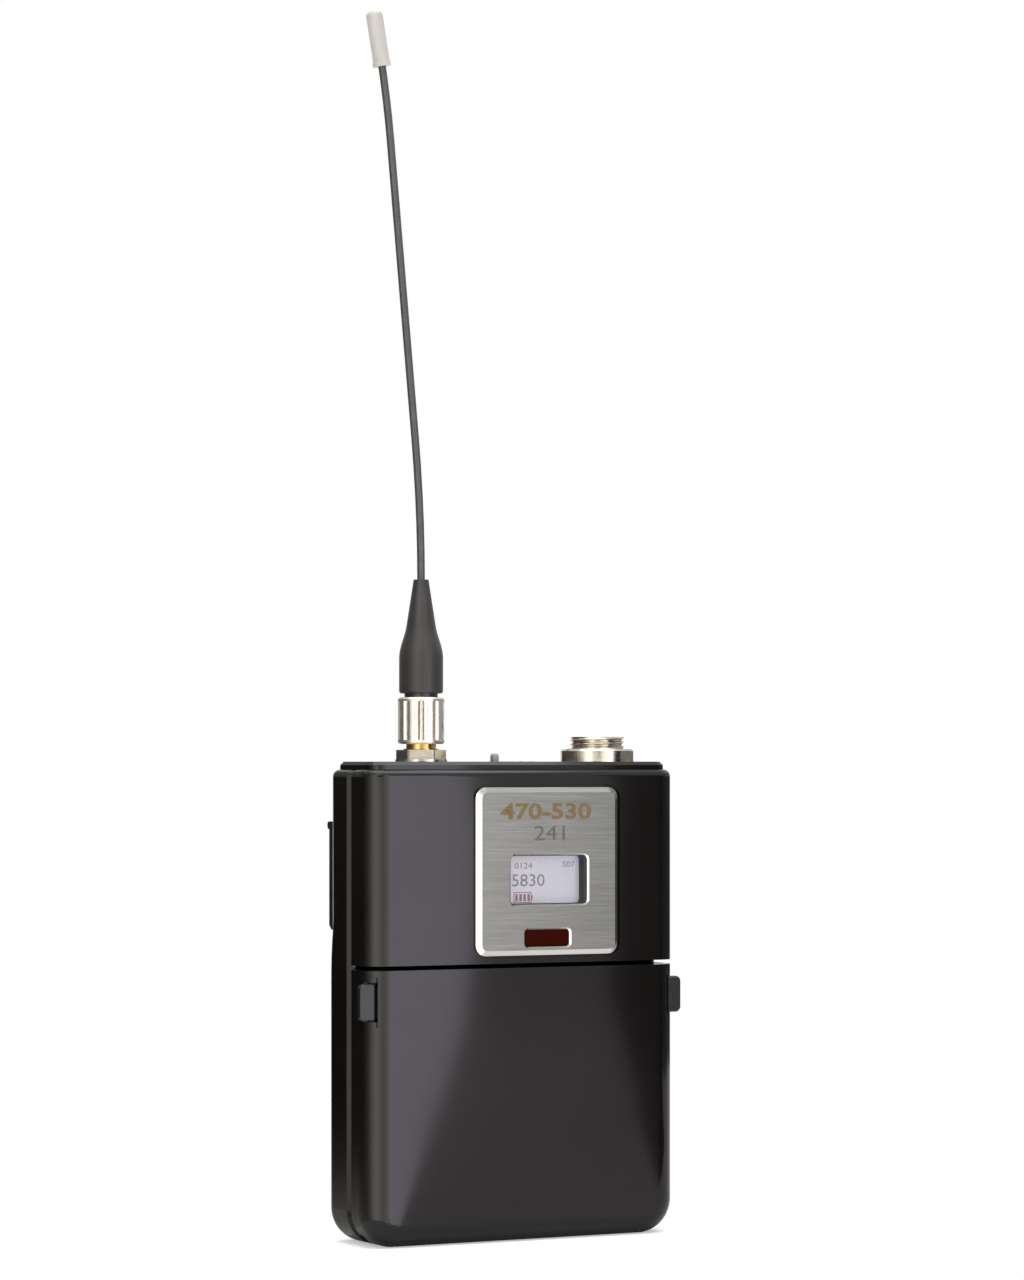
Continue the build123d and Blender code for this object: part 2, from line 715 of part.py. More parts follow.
switch_front = cap_back + button_travel + 0.05
with BuildPart() as tact_switches:
    with BuildSketch(front_plane(switch_front + 1.6)):
        with Locations(*[(x, button_z) for x in button_xs]):
            Rectangle(4.2, 3.2)
    extrude(amount=1.3)
    with BuildSketch(front_plane(switch_front + 0.3)):
        with Locations(*[(x, button_z) for x in button_xs]):
            Circle(1.1)
    extrude(amount=0.3)
tact_switches.part.label = "tact_switches"

with BuildPart() as button_board:
    with BuildSketch(front_plane(switch_front + 1.6)):
        with Locations((0, (panel_low + panel_high) / 2)):
            Rectangle(panel_inner_width, panel_inner_height)
    extrude(amount=-1.0)
button_board.part.label = "button_board"

# ---------------------------------------------------------------- door hinge and latches
with BuildPart() as door_hinge_pin:
    with BuildSketch(Plane.YZ.offset(-hinge_pin_length / 2)):
        with Locations((hinge_y, hinge_z)):
            Circle(hinge_pin_radius)
    extrude(amount=hinge_pin_length)
    chamfer(door_hinge_pin.edges(), 0.15)
door_hinge_pin.part.label = "door_hinge_pin"

latches = []
latch_springs = []
for side, side_name in ((-1, "left"), (1, "right")):
    wall_inner = half_width - side_wall
    with BuildPart() as latch:
        # tab that stands out of the door's side
        with BuildSketch(Plane.YZ.offset(side * (wall_inner - 0.2))):
            with Locations((tab_cap_y, tab_z)):
                Rectangle(tab_thickness, tab_height)
        extrude(amount=side * (side_wall + tab_proud + 0.2))
        outer_face = latch.faces().sort_by(Axis.X)[-1 if side > 0 else 0]
        fillet(outer_face.edges().filter_by(Axis.Y), tab_round)
        outer_face = latch.faces().sort_by(Axis.X)[-1 if side > 0 else 0]
        fillet(outer_face.edges().filter_by(Axis.Z), tab_edge_round)
        # flange that keeps it in the door
        with BuildSketch(Plane.YZ.offset(side * (wall_inner - 0.1))):
            with Locations((tab_y + 0.3, tab_z)):
                Rectangle(tab_thickness - 0.2, tab_height + 2 * latch_flange)
        extrude(amount=-side * latch_flange_thickness)
        # arm that runs between the rails
        with BuildSketch(Plane.YZ.offset(side * latch_arm_inner)):
            with Locations((tab_y + 0.25, tab_z)):
                Rectangle(tab_thickness - 0.4, tab_height - 1.0)
        extrude(amount=side * (wall_inner - 0.2 - latch_arm_inner))
        # hook that reaches back to the keeper in the case
        with BuildSketch(front_plane(tab_y)):
            with Locations((side * hook_x, tab_z)):
                Rectangle(1.0, 4.4)
        extrude(amount=-(hook_back - tab_y))
    latch.part.label = f"latch_{side_name}"
    latches.append(latch.part)
    with BuildPart() as latch_spring:
        # closed outer shape of a small coil spring, as a row of rounded ribs with a hollow core
        spring_end = latch_arm_inner - 0.03
        rib = (latch_spring_length - 0.06) / latch_spring_turns
        for turn in range(latch_spring_turns):
            rib_x = side * (spring_end - (turn + 0.5) * rib)
            with BuildSketch(Plane.YZ.offset(rib_x - rib / 2)):
                with Locations((tab_y + latch_spring_lift, tab_z)):
                    Circle(latch_spring_radius - 0.12)
                    Circle(latch_spring_radius - 0.4, mode=Mode.SUBTRACT)
            extrude(amount=rib)
            with BuildSketch(Plane.YZ.offset(rib_x - rib / 4)):
                with Locations((tab_y + latch_spring_lift, tab_z)):
                    Circle(latch_spring_radius)
                    Circle(latch_spring_radius - 0.4, mode=Mode.SUBTRACT)
            extrude(amount=rib / 2)
    latch_spring.part.label = f"latch_spring_{side_name}"
    latch_springs.append(latch_spring.part)

# ---------------------------------------------------------------- belt clip
with BuildPart() as belt_clip:
    plate_mid = clip_plate_front + clip_thickness / 2
    # bent side profile of the spring plate
    with BuildSketch(Plane.YZ.offset(-clip_half_width)):
        with BuildLine() as bend_line:
            FilletPolyline((plate_mid, clip_top - 0.3), (plate_mid, clip_jaw_z + 8.5),
                           (clip_jaw_y, clip_jaw_z), (clip_jaw_y + 1.3, clip_tongue_low), radius=2.5)
        trace(line_width=clip_thickness)
    extrude(amount=2 * clip_half_width)
    # outline seen from behind: wide lever above the pivot, narrow tongue below it
    with BuildSketch(front_plane(rear_y + 8)) as clip_outline:
        with Locations((0, (clip_top + clip_wide_low) / 2)):
            RectangleRounded(2 * clip_half_width, clip_top - clip_wide_low + 0.01, 1.0)
        with Locations((0, (clip_wide_low + 3 + clip_tongue_low) / 2)):
            RectangleRounded(2 * clip_tongue_half_width, clip_wide_low + 3 - clip_tongue_low + 2.0, 6.0)
    extrude(amount=rear_y + 8, mode=Mode.INTERSECT)
    # rolled lip along the top edge
    with BuildSketch(Plane.YZ.offset(-clip_half_width)):
        with Locations((clip_plate_front + clip_thickness / 2 + 0.1, clip_top - 0.7)):
            RectangleRounded(2 * clip_lip_radius, 1.4, 0.6)
    extrude(amount=2 * clip_half_width)
    # side ears bent towards the case, around the pivot pin
    for side in (-1, 1):
        with BuildSketch(Plane.YZ.offset(side * clip_half_width)):
            with Locations((clip_pivot_y, clip_pivot_z)):
                Circle(clip_ear_radius)
            with Locations(((clip_pivot_y + plate_mid) / 2, clip_pivot_z)):
                Rectangle(plate_mid - clip_pivot_y, 2 * clip_ear_radius)
        extrude(amount=-side * clip_thickness)
    with BuildSketch(Plane.YZ.offset(-half_width)):
        with Locations((clip_pivot_y, clip_pivot_z)):
            Circle(clip_pin_radius + clip_pin_fit)
    extrude(amount=2 * half_width, mode=Mode.SUBTRACT)
belt_clip.part.label = "belt_clip"

with BuildPart() as clip_pin:
    with BuildSketch(Plane.YZ.offset(-clip_half_width)):
        with Locations((clip_pivot_y, clip_pivot_z)):
            Circle(clip_pin_radius)
    extrude(amount=2 * clip_half_width)
    chamfer(clip_pin.edges(), 0.2)
clip_pin.part.label = "clip_pin"

with BuildPart() as clip_spring:
    for side in (-1, 1):
        for turn in range(clip_spring_turns):
            coil_x = side * (8 + turn * clip_spring_pitch)
            with BuildSketch(Plane.YZ.offset(coil_x)):
                with Locations((clip_pivot_y, clip_pivot_z)):
                    Circle(clip_pin_radius + 0.38)
                    Circle(clip_pin_radius, mode=Mode.SUBTRACT)
            extrude(amount=side * clip_spring_pitch * 0.6)
            with BuildSketch(Plane.YZ.offset(coil_x)):
                with Locations((clip_pivot_y, clip_pivot_z)):
                    Circle(clip_pin_radius + 0.25)
                    Circle(clip_pin_radius, mode=Mode.SUBTRACT)
            extrude(amount=side * clip_spring_pitch)
clip_spring.part.label = "clip_spring"

# ---------------------------------------------------------------- antenna socket
def ring_stack(centre_x, steps):
    """Turned piece about the vertical axis at centre_x: steps are (low, high, outer, inner) rings."""
    with BuildPart() as turned:
        for low, high, outer, inner in steps:
            with BuildSketch(Plane.XY.offset(low)):
                with Locations((centre_x, 0)):
                    Circle(outer)
                    if inner > 0:
                        Circle(inner, mode=Mode.SUBTRACT)
            extrude(amount=high - low)
    return turned.part


socket_low = body_height - socket_depth
with BuildPart() as antenna_socket:
    add(ring_stack(antenna_x, [
        (socket_low, body_height + socket_hex_height + 0.2, socket_thread_radius, socket_bore_radius),
        (body_height + socket_hex_height, body_height + nut_low + 0.3, socket_neck_radius,
         socket_bore_radius),
        (body_height + nut_low + 0.3, body_height + socket_top, socket_thread_radius,
         socket_bore_radius)]))
    chamfer(antenna_socket.faces().sort_by(Axis.Z)[-1].outer_wire().edges(), 0.25)
antenna_socket.part.label = "antenna_socket"

with BuildPart() as socket_washer:
    add(ring_stack(antenna_x, [(body_height, body_height + 0.4, socket_hex / 2 + 0.7,
                                socket_thread_radius)]))
socket_washer.part.label = "socket_washer"

with BuildPart() as socket_hex_nut:
    with BuildSketch(Plane.XY.offset(body_height + 0.4)):
        with Locations((antenna_x, 0)):
            RegularPolygon(socket_hex / 2, 6, major_radius=False, rotation=33.7)
            Circle(socket_thread_radius, mode=Mode.SUBTRACT)
    extrude(amount=socket_hex_height - 0.4)
    with BuildSketch(Plane.XY.offset(body_height)):
        with Locations((antenna_x, 0)):
            Circle(socket_hex * 0.56)
    extrude(amount=socket_hex_height, taper=0, mode=Mode.INTERSECT)
socket_hex_nut.part.label = "socket_hex_nut"

with BuildPart() as socket_insulator:
    add(ring_stack(antenna_x, [(socket_low, body_height + 4.0, socket_bore_radius, contact_radius)]))
socket_insulator.part.label = "socket_insulator"

with BuildPart() as socket_contact:
    add(ring_stack(antenna_x, [(socket_low - 2, body_height + 4.2, contact_radius, 0)]))
socket_contact.part.label = "socket_contact"

# ---------------------------------------------------------------- antenna
with BuildPart() as antenna_nut:
    thread_bore = socket_thread_radius + nut_fit
    add(ring_stack(antenna_x, [
        (body_height + nut_low, body_height + socket_top, nut_radius, thread_bore),
        (body_height + socket_top, body_height + ferrule_flange_top + 0.15, nut_radius,
         ferrule_flange_radius + nut_fit),
        (body_height + ferrule_flange_top + 0.15, body_height + nut_high, nut_radius,
         ferrule_radius + nut_fit)]))
    # flutes of the finger grip
    with BuildSketch(Plane.XY.offset(body_height + nut_low + nut_collar)):
        with Locations((antenna_x, 0)):
            with PolarLocations(nut_radius + flute_radius - flute_depth, flute_count):
                Circle(flute_radius)
    extrude(amount=nut_high - nut_low - 2 * nut_collar, mode=Mode.SUBTRACT)
    chamfer(antenna_nut.faces().sort_by(Axis.Z)[-1].outer_wire().edges(), 0.3)
    chamfer(antenna_nut.faces().sort_by(Axis.Z)[0].outer_wire().edges(), 0.3)
antenna_nut.part.label = "antenna_nut"

with BuildPart() as antenna_ferrule:
    plug_low = body_height + 4.6
    add(ring_stack(antenna_x, [
        (plug_low, body_height + socket_top + 0.2, socket_bore_radius - 0.1, 0.45),
        (body_height + socket_top + 0.1, body_height + ferrule_flange_top, ferrule_flange_radius, 0.45),
        (body_height + ferrule_flange_top, body_height + boot_low, ferrule_radius, 0.45),
        (body_height + boot_low, body_height + boot_low + 5.5, ferrule_crimp_radius, whip_radius)]))
antenna_ferrule.part.label = "antenna_ferrule"

with BuildPart() as antenna_pin:
    add(ring_stack(antenna_x, [(plug_low, body_height + boot_low, 0.45, 0)]))
antenna_pin.part.label = "antenna_pin"

with BuildPart() as antenna_boot:
    with BuildSketch(Plane.XZ):
        with BuildLine():
            Line((antenna_x + whip_radius, body_height + boot_low),
                 (antenna_x + boot_radius - boot_foot_round, body_height + boot_low))
            RadiusArc((antenna_x + boot_radius - boot_foot_round, body_height + boot_low),
                      (antenna_x + boot_radius, body_height + boot_low + boot_foot_round), -boot_foot_round)
            Line((antenna_x + boot_radius, body_height + boot_low + boot_foot_round),
                 (antenna_x + boot_radius, body_height + boot_shoulder_low))
            Spline((antenna_x + boot_radius, body_height + boot_shoulder_low),
                   (antenna_x + boot_neck_radius, body_height + boot_shoulder_high),
                   tangents=((0, 1), (-(boot_neck_radius - boot_tip_radius),
                                      boot_high - boot_shoulder_high)))
            Line((antenna_x + boot_neck_radius, body_height + boot_shoulder_high),
                 (antenna_x + boot_tip_radius, body_height + boot_high))
            Line((antenna_x + boot_tip_radius, body_height + boot_high),
                 (antenna_x + whip_radius, body_height + boot_high))
            Line((antenna_x + whip_radius, body_height + boot_high),
                 (antenna_x + whip_radius, body_height + boot_low))
        make_face()
    revolve(axis=Axis((antenna_x, 0, 0), (0, 0, 1)))
    add(ring_stack(antenna_x, [(body_height + boot_low, body_height + boot_low + 5.5,
                                ferrule_crimp_radius, 0)]), mode=Mode.SUBTRACT)
antenna_boot.part.label = "antenna_boot"

whip_low = body_height + boot_low + 0.3
bend_x = antenna_x - (whip_bend_z - whip_knee_z) * tan(radians(whip_lean))
end_x = bend_x - (whip_end_z - whip_bend_z) * tan(radians(whip_end_lean))
with BuildPart() as antenna_whip:
    with BuildLine() as whip_path:
        FilletPolyline((antenna_x, 0, whip_low), (antenna_x, 0, whip_knee_z), (bend_x, 0, whip_bend_z),
                       (end_x, 0, whip_end_z), radius=(whip_knee_radius, whip_bend_radius))
    with BuildSketch(Plane.XY.offset(whip_low)):
        with Locations((antenna_x, 0)):
            Circle(whip_radius)
    sweep()
antenna_whip.part.label = "antenna_whip"

with BuildPart() as antenna_tip:
    lean = radians(whip_end_lean)
    tip_start = Vector(end_x + (whip_end_z - tip_low_z) * tan(lean), 0, tip_low_z)
    tip_plane = Plane(origin=tip_start, x_dir=(cos(lean), 0, sin(lean)), z_dir=(-sin(lean), 0, cos(lean)))
    with BuildSketch(tip_plane):
        Circle(tip_radius)
    extrude(amount=tip_length)
    fillet(antenna_tip.edges().sort_by(Axis.Z)[-1], tip_radius * 0.6)
    with BuildSketch(tip_plane):
        Circle(tip_radius + 0.15)
    extrude(amount=0.7)
    with BuildSketch(tip_plane):
        Circle(whip_radius)
    extrude(amount=(whip_end_z - tip_low_z) / cos(lean), mode=Mode.SUBTRACT)
antenna_tip.part.label = "antenna_tip"

# ---------------------------------------------------------------- microphone input
input_low = body_height - input_depth
with BuildPart() as input_jack:
    add(ring_stack(input_x, [
        (input_low, body_height + input_ring_height + input_undercut, input_stem_radius,
         input_bore_radius),
        (body_height + input_ring_height + input_undercut, input_top, input_thread_radius,
         input_bore_radius)]))
    chamfer(input_jack.faces().sort_by(Axis.Z)[-1].outer_wire().edges(), 0.3)
input_jack.part.label = "input_jack"

with BuildPart() as input_ring:
    add(ring_stack(input_x, [(body_height, body_height + input_ring_height, input_ring_radius,
                              input_stem_radius)]))
    chamfer(input_ring.faces().sort_by(Axis.Z)[-1].outer_wire().edges(), 0.35)
input_ring.part.label = "input_ring"

with BuildPart() as input_nut:
    with BuildSketch(Plane.XY.offset(shell_top - 1.2 - 1.8)):
        with Locations((input_x, 0)):
            RegularPolygon(6.6, 6, rotation=30)
            Circle(input_stem_radius, mode=Mode.SUBTRACT)
    extrude(amount=1.8)
input_nut.part.label = "input_nut"

pin_angles = 360 / input_pin_count
with BuildPart() as input_insulator:
    add(ring_stack(input_x, [(input_low, body_height - 4.5, input_bore_radius, 0)]))
    with BuildSketch(Plane.XY.offset(input_low)):
        with Locations((input_x, 0)):
            with PolarLocations(input_pin_circle, input_pin_count, start_angle=pin_angles / 2):
                Circle(input_pin_radius)
    extrude(amount=input_depth, mode=Mode.SUBTRACT)
input_insulator.part.label = "input_insulator"

with BuildPart() as input_pins:
    with BuildSketch(Plane.XY.offset(input_low - 1.0)):
        with Locations((input_x, 0)):
            with PolarLocations(input_pin_circle, input_pin_count, start_angle=pin_angles / 2):
                Circle(input_pin_radius)
    extrude(amount=input_depth)
    chamfer(input_pins.faces().filter_by(Axis.Z).group_by(Axis.Z)[-1].edges(), 0.12)
input_pins.part.label = "input_pins"

# ---------------------------------------------------------------- power switch and lamp
knob_low = shell_top - 1.6
with BuildPart() as power_switch_knob:
    knob_top = body_height + knob_height
    with BuildSketch(Plane.XZ.offset(-knob_depth / 2)):
        with BuildLine():
            Polyline((switch_x - knob_width / 2, knob_low), (switch_x + knob_width / 2, knob_low),
                     (switch_x + knob_width / 2, knob_top - 0.25),
                     (switch_x + knob_width / 2 - 0.35, knob_top),
                     (switch_x + knob_width / 2 - 0.75, knob_top),
                     (switch_x - knob_width / 2, knob_top - 0.45), close=True)
        make_face()
    extrude(amount=knob_depth)
power_switch_knob.part.label = "power_switch_knob"

with BuildPart() as power_switch_body:
    with BuildSketch(Plane.XY.offset(knob_low - 0.1)):
        with Locations((switch_x + switch_travel / 2, 0)):
            Rectangle(8.4, 4.6)
    extrude(amount=-4.2)
power_switch_body.part.label = "power_switch_body"

with BuildPart() as power_lamp:
    add(ring_stack(lamp_x, [(shell_top - 2.0, body_height + lamp_dome, lamp_radius, 0)]))
    fillet(power_lamp.faces().sort_by(Axis.Z)[-1].edges(), lamp_dome)
power_lamp.part.label = "power_lamp"

# ---------------------------------------------------------------- case screws
with BuildPart() as case_screws:
    head_face = rear_y - 0.2
    with BuildSketch(front_plane(head_face)):
        with Locations(*case_screw_places):
            Circle(case_screw_head_radius)
            RegularPolygon(0.8, 6, mode=Mode.SUBTRACT)
    extrude(amount=case_screw_head_height)
    with BuildSketch(front_plane(head_face - case_screw_head_height + 0.2)):
        with Locations(*case_screw_places):
            Circle(case_screw_head_radius)
    extrude(amount=0.2)
    with BuildSketch(front_plane(head_face - case_screw_head_height)):
        with Locations(*case_screw_places):
            Circle(case_screw_radius)
    extrude(amount=head_face - case_screw_head_height - front_shell_back + 4.0)
case_screws.part.label = "case_screws"

# ---------------------------------------------------------------- write one file per piece
pieces = [front_housing.part, rear_housing.part, top_plate.part, bezel_plate.part, display_gasket.part,
          display_window.part, display_module.part, ir_window.part, ir_emitter.part, display_board.part,
          board_spacers.part, main_board.part, rf_shield.part, board_parts.part, battery_cradle.part,
          *cells, battery_contacts.part, battery_springs.part, button_panel.part, *menu_buttons,
          tact_switches.part, button_board.part, battery_door.part, door_hinge_pin.part, *latches,
          *latch_springs, belt_clip.part, clip_pin.part, clip_spring.part, antenna_socket.part,
          socket_washer.part, socket_hex_nut.part, socket_insulator.part, socket_contact.part,
          antenna_nut.part, antenna_ferrule.part, antenna_pin.part, antenna_boot.part,
          antenna_whip.part, antenna_tip.part, input_jack.part, input_ring.part, input_nut.part,
          input_insulator.part, input_pins.part, power_switch_knob.part, power_switch_body.part,
          power_lamp.part, case_screws.part]
os.makedirs("parts", exist_ok=True)
for piece in pieces:
    export_step(piece, f"parts/{piece.label}.step")
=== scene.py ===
"""Looks of a belt-worn wireless bodypack transmitter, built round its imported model.

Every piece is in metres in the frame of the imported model: +X to the right seen from the front, the
front faces -Y, +Z up. Sizes inside the classes are millimetres, because the device is drawn in them.
"""
import logging
import math
from collections.abc import Callable, Sequence
from dataclasses import dataclass, replace
from enum import Enum

import bmesh
import bpy
import numpy as np
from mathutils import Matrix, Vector


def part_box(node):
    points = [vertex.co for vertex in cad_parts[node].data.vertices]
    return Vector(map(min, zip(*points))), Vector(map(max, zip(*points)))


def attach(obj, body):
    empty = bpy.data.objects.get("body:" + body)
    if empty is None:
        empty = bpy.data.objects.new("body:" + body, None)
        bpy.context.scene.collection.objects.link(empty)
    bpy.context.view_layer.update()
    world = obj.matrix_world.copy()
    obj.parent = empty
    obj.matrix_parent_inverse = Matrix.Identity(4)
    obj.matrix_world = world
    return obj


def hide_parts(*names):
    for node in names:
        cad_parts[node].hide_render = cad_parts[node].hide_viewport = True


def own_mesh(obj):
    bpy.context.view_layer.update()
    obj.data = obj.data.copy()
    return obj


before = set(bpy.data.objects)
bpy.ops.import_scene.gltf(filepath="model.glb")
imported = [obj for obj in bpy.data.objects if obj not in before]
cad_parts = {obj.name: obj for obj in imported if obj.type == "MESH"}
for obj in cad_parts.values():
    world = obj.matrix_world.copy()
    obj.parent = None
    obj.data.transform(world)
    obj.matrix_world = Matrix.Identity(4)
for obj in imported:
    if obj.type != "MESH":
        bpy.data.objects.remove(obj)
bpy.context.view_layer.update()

log = logging.getLogger("bodypack")
MM = 0.001
PACK_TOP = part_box("top_plate")[1].z / MM
Socket = bpy.types.NodeSocket
Surface = tuple[np.ndarray, np.ndarray]
RadiusCut = Callable[[np.ndarray, np.ndarray, np.ndarray], np.ndarray]


class Body(str, Enum):
    """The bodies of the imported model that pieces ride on."""

    CASE = "case"
    DOOR = "door"
    CLIP = "clip"
    ANTENNA = "antenna"
    NUT = "coupling_nut"
    KNOB = "switch_knob"


# ---------------- colour and nodes
def linear(colour: str) -> tuple[float, float, float, float]:
    """Turns an sRGB hex colour into linear RGBA.

    Args:
        colour: Six hex digits after a hash.

    Returns:
        Red, green and blue as light, and an alpha of one.
    """
    code = np.array([int(colour[i:i + 2], 16) for i in (1, 3, 5)]) / 255
    light = np.where(code <= 0.04045, code / 12.92, ((code + 0.055) / 1.055) ** 2.4)
    return (float(light[0]), float(light[1]), float(light[2]), 1.0)


@dataclass(frozen=True)
class Nodes:
    """Adds nodes to one tree."""

    tree: bpy.types.NodeTree

    def add(self, kind: str, inputs: dict | None = None, **settings) -> bpy.types.Node:
        """Adds one node.

        Args:
            kind: Node type, without the word that all of them start with.
            inputs: Input names or numbers, each with a socket to link, or a value or hex colour to set.
            settings: Properties of the node.

        Returns:
            The new node.
        """
        node = self.tree.nodes.new("ShaderNode" + kind)
        for key, value in settings.items():
            setattr(node, key, value)
        for key, value in (inputs or {}).items():
            if isinstance(value, Socket):
                self.tree.links.new(value, node.inputs[key])
            else:
                node.inputs[key].default_value = linear(value) if isinstance(value, str) else value
        return node

    def math(self, operation: str, *values: Socket | float) -> Socket:
        """Works out a sum, product or the like of one or two values."""
        return self.add("Math", dict(enumerate(values)), operation=operation).outputs[0]

    def span(self, value: Socket, low: float, high: float, to: tuple[float, float] = (0.0, 1.0),
             smooth: bool = False) -> Socket:
        """Maps low..high of a value to another range, held at both ends and smooth if asked."""
        limits = {"From Min": low, "From Max": high, "To Min": to[0], "To Max": to[1]}
        return self.add("MapRange", {"Value": value} | limits,
                        interpolation_type="SMOOTHSTEP" if smooth else "LINEAR").outputs[0]

    def noise(self, place: Socket, scale: float, detail: float, roughness: float) -> Socket:
        """Gives a cloudy value."""
        return self.add("TexNoise", {"Vector": place, "Scale": scale, "Detail": detail,
                                     "Roughness": roughness}).outputs["Fac"]

    def scaled(self, place: Socket, sizes_mm: Sequence[float]) -> Socket:
        """Gives coordinates that count steps of three sizes."""
        steps = tuple(1 / (size * MM) for size in sizes_mm)
        return self.add("Mapping", {"Vector": place, "Scale": steps}).outputs[0]

    def mix(self, share: Socket | float, first: Socket | str, second: Socket | str, **settings) -> Socket:
        """Mixes two colours, each a socket or a hex colour."""
        return self.add("Mix", {0: share, 6: first, 7: second}, data_type="RGBA", **settings).outputs[2]

    def rays(self) -> tuple[Socket, Socket, Socket]:
        """Tells camera rays, shadow rays, and reflected or transmitted rays, each by a one."""
        kinds = self.add("LightPath").outputs
        mirror = self.math("MAXIMUM", kinds["Is Glossy Ray"], kinds["Is Transmission Ray"])
        return kinds["Is Camera Ray"], kinds["Is Shadow Ray"], mirror


def bare_nodes(owner: bpy.types.Material | bpy.types.World) -> Nodes:
    """Turns on the nodes of a material or world and empties its tree."""
    owner.use_nodes = True
    owner.node_tree.nodes.clear()
    return Nodes(owner.node_tree)


@dataclass(frozen=True)
class Finish:
    """A surface finish: two close tones, mottling, fine grain, sheen and worn edges.

    The base tone and the second tone are mixed by a broad noise, a fine noise gives the bump and
    stirs the roughness, and edges are found by comparing the surface with its rounded self.
    """

    name: str
    colour: str
    second: str
    roughness: float = 0.4
    roughness_spread: float = 0.06
    metallic: float = 0.0
    ior: float = 1.5
    mottle_mm: float = 9.0
    grain_mm: float | tuple[float, float, float] = 0.35
    grain_depth_mm: float = 0.004
    coat: float = 0.0
    coat_roughness: float = 0.08
    specular: float = 0.5
    sheen: float = 0.0
    anisotropy: float = 0.0
    subsurface: float = 0.0
    transmission: float = 0.0
    edge: str = ""
    edge_mm: float = 0.25
    edge_amount: float = 0.5
    edge_turn: tuple[float, float] = (0.985, 0.86)
    patch_mm: float = 1.6
    glow: float = 0.0

    def tone(self, nodes: Nodes, place: Socket) -> Socket:
        """Gives the colour before wear.

        Args:
            nodes: Nodes of the material.
            place: Object coordinates.

        Returns:
            The colour socket.
        """
        cloud = nodes.noise(place, 1 / (self.mottle_mm * MM), detail=4.0, roughness=0.6)
        return nodes.mix(nodes.span(cloud, 0.35, 0.65), self.colour, self.second)

    def worn(self, nodes: Nodes, place: Socket, colour: Socket) -> Socket:
        """Mixes the worn tone into the colour, in patches, where an edge is sharp."""
        soft = nodes.add("Bevel", {"Radius": self.edge_mm * MM}, samples=4)
        hard = nodes.add("NewGeometry")
        alike = nodes.add("VectorMath", {0: soft.outputs[0], 1: hard.outputs["Normal"]},
                          operation="DOT_PRODUCT")
        depth = nodes.span(alike.outputs["Value"], *self.edge_turn, to=(0.0, self.edge_amount))
        cloud = nodes.noise(place, 1 / (self.patch_mm * MM), detail=5.0, roughness=0.7)
        return nodes.mix(nodes.math("MULTIPLY", depth, nodes.span(cloud, 0.42, 0.62)), colour, self.edge)

    def material(self) -> bpy.types.Material:
        """Builds the material, or finds it if it is already built."""
        found = bpy.data.materials.get(self.name)
        if found:
            return found
        material = bpy.data.materials.new(self.name)
        material.use_nodes = True
        nodes = Nodes(material.node_tree)
        shader = material.node_tree.nodes["Principled BSDF"]
        place = nodes.add("TexCoord").outputs["Object"]
        colour = self.tone(nodes, place)
        if self.edge:
            colour = self.worn(nodes, place, colour)
        grain = nodes.scaled(place, np.broadcast_to(self.grain_mm, 3))
        height = nodes.noise(grain, 1.0, detail=3.0, roughness=0.55)
        bump = nodes.add("Bump", {"Height": height, "Distance": self.grain_depth_mm * MM, "Strength": 1.0})
        least, most = self.roughness - self.roughness_spread, self.roughness + self.roughness_spread
        rough = nodes.span(height, 0.3, 0.7, (max(least, 0.02), most))
        links = {"Base Color": colour, "Normal": bump.outputs[0], "Roughness": self.gloss(nodes, rough)}
        if self.glow:
            links["Emission Color"] = colour
        for key, socket in links.items():
            material.node_tree.links.new(socket, shader.inputs[key])
        fixed = {"Metallic": self.metallic, "IOR": self.ior, "Coat Weight": self.coat,
                 "Coat Roughness": self.coat_roughness, "Specular IOR Level": self.specular,
                 "Sheen Weight": self.sheen, "Anisotropic": self.anisotropy,
                 "Transmission Weight": self.transmission, "Subsurface Weight": self.subsurface,
                 "Subsurface Scale": 0.5 * MM, "Emission Strength": self.glow}
        for key, value in fixed.items():
            shader.inputs[key].default_value = value
        return material

    def gloss(self, nodes: Nodes, rough: Socket) -> Socket:
        """Gives the roughness; the plain finish leaves it as it is."""
        return rough


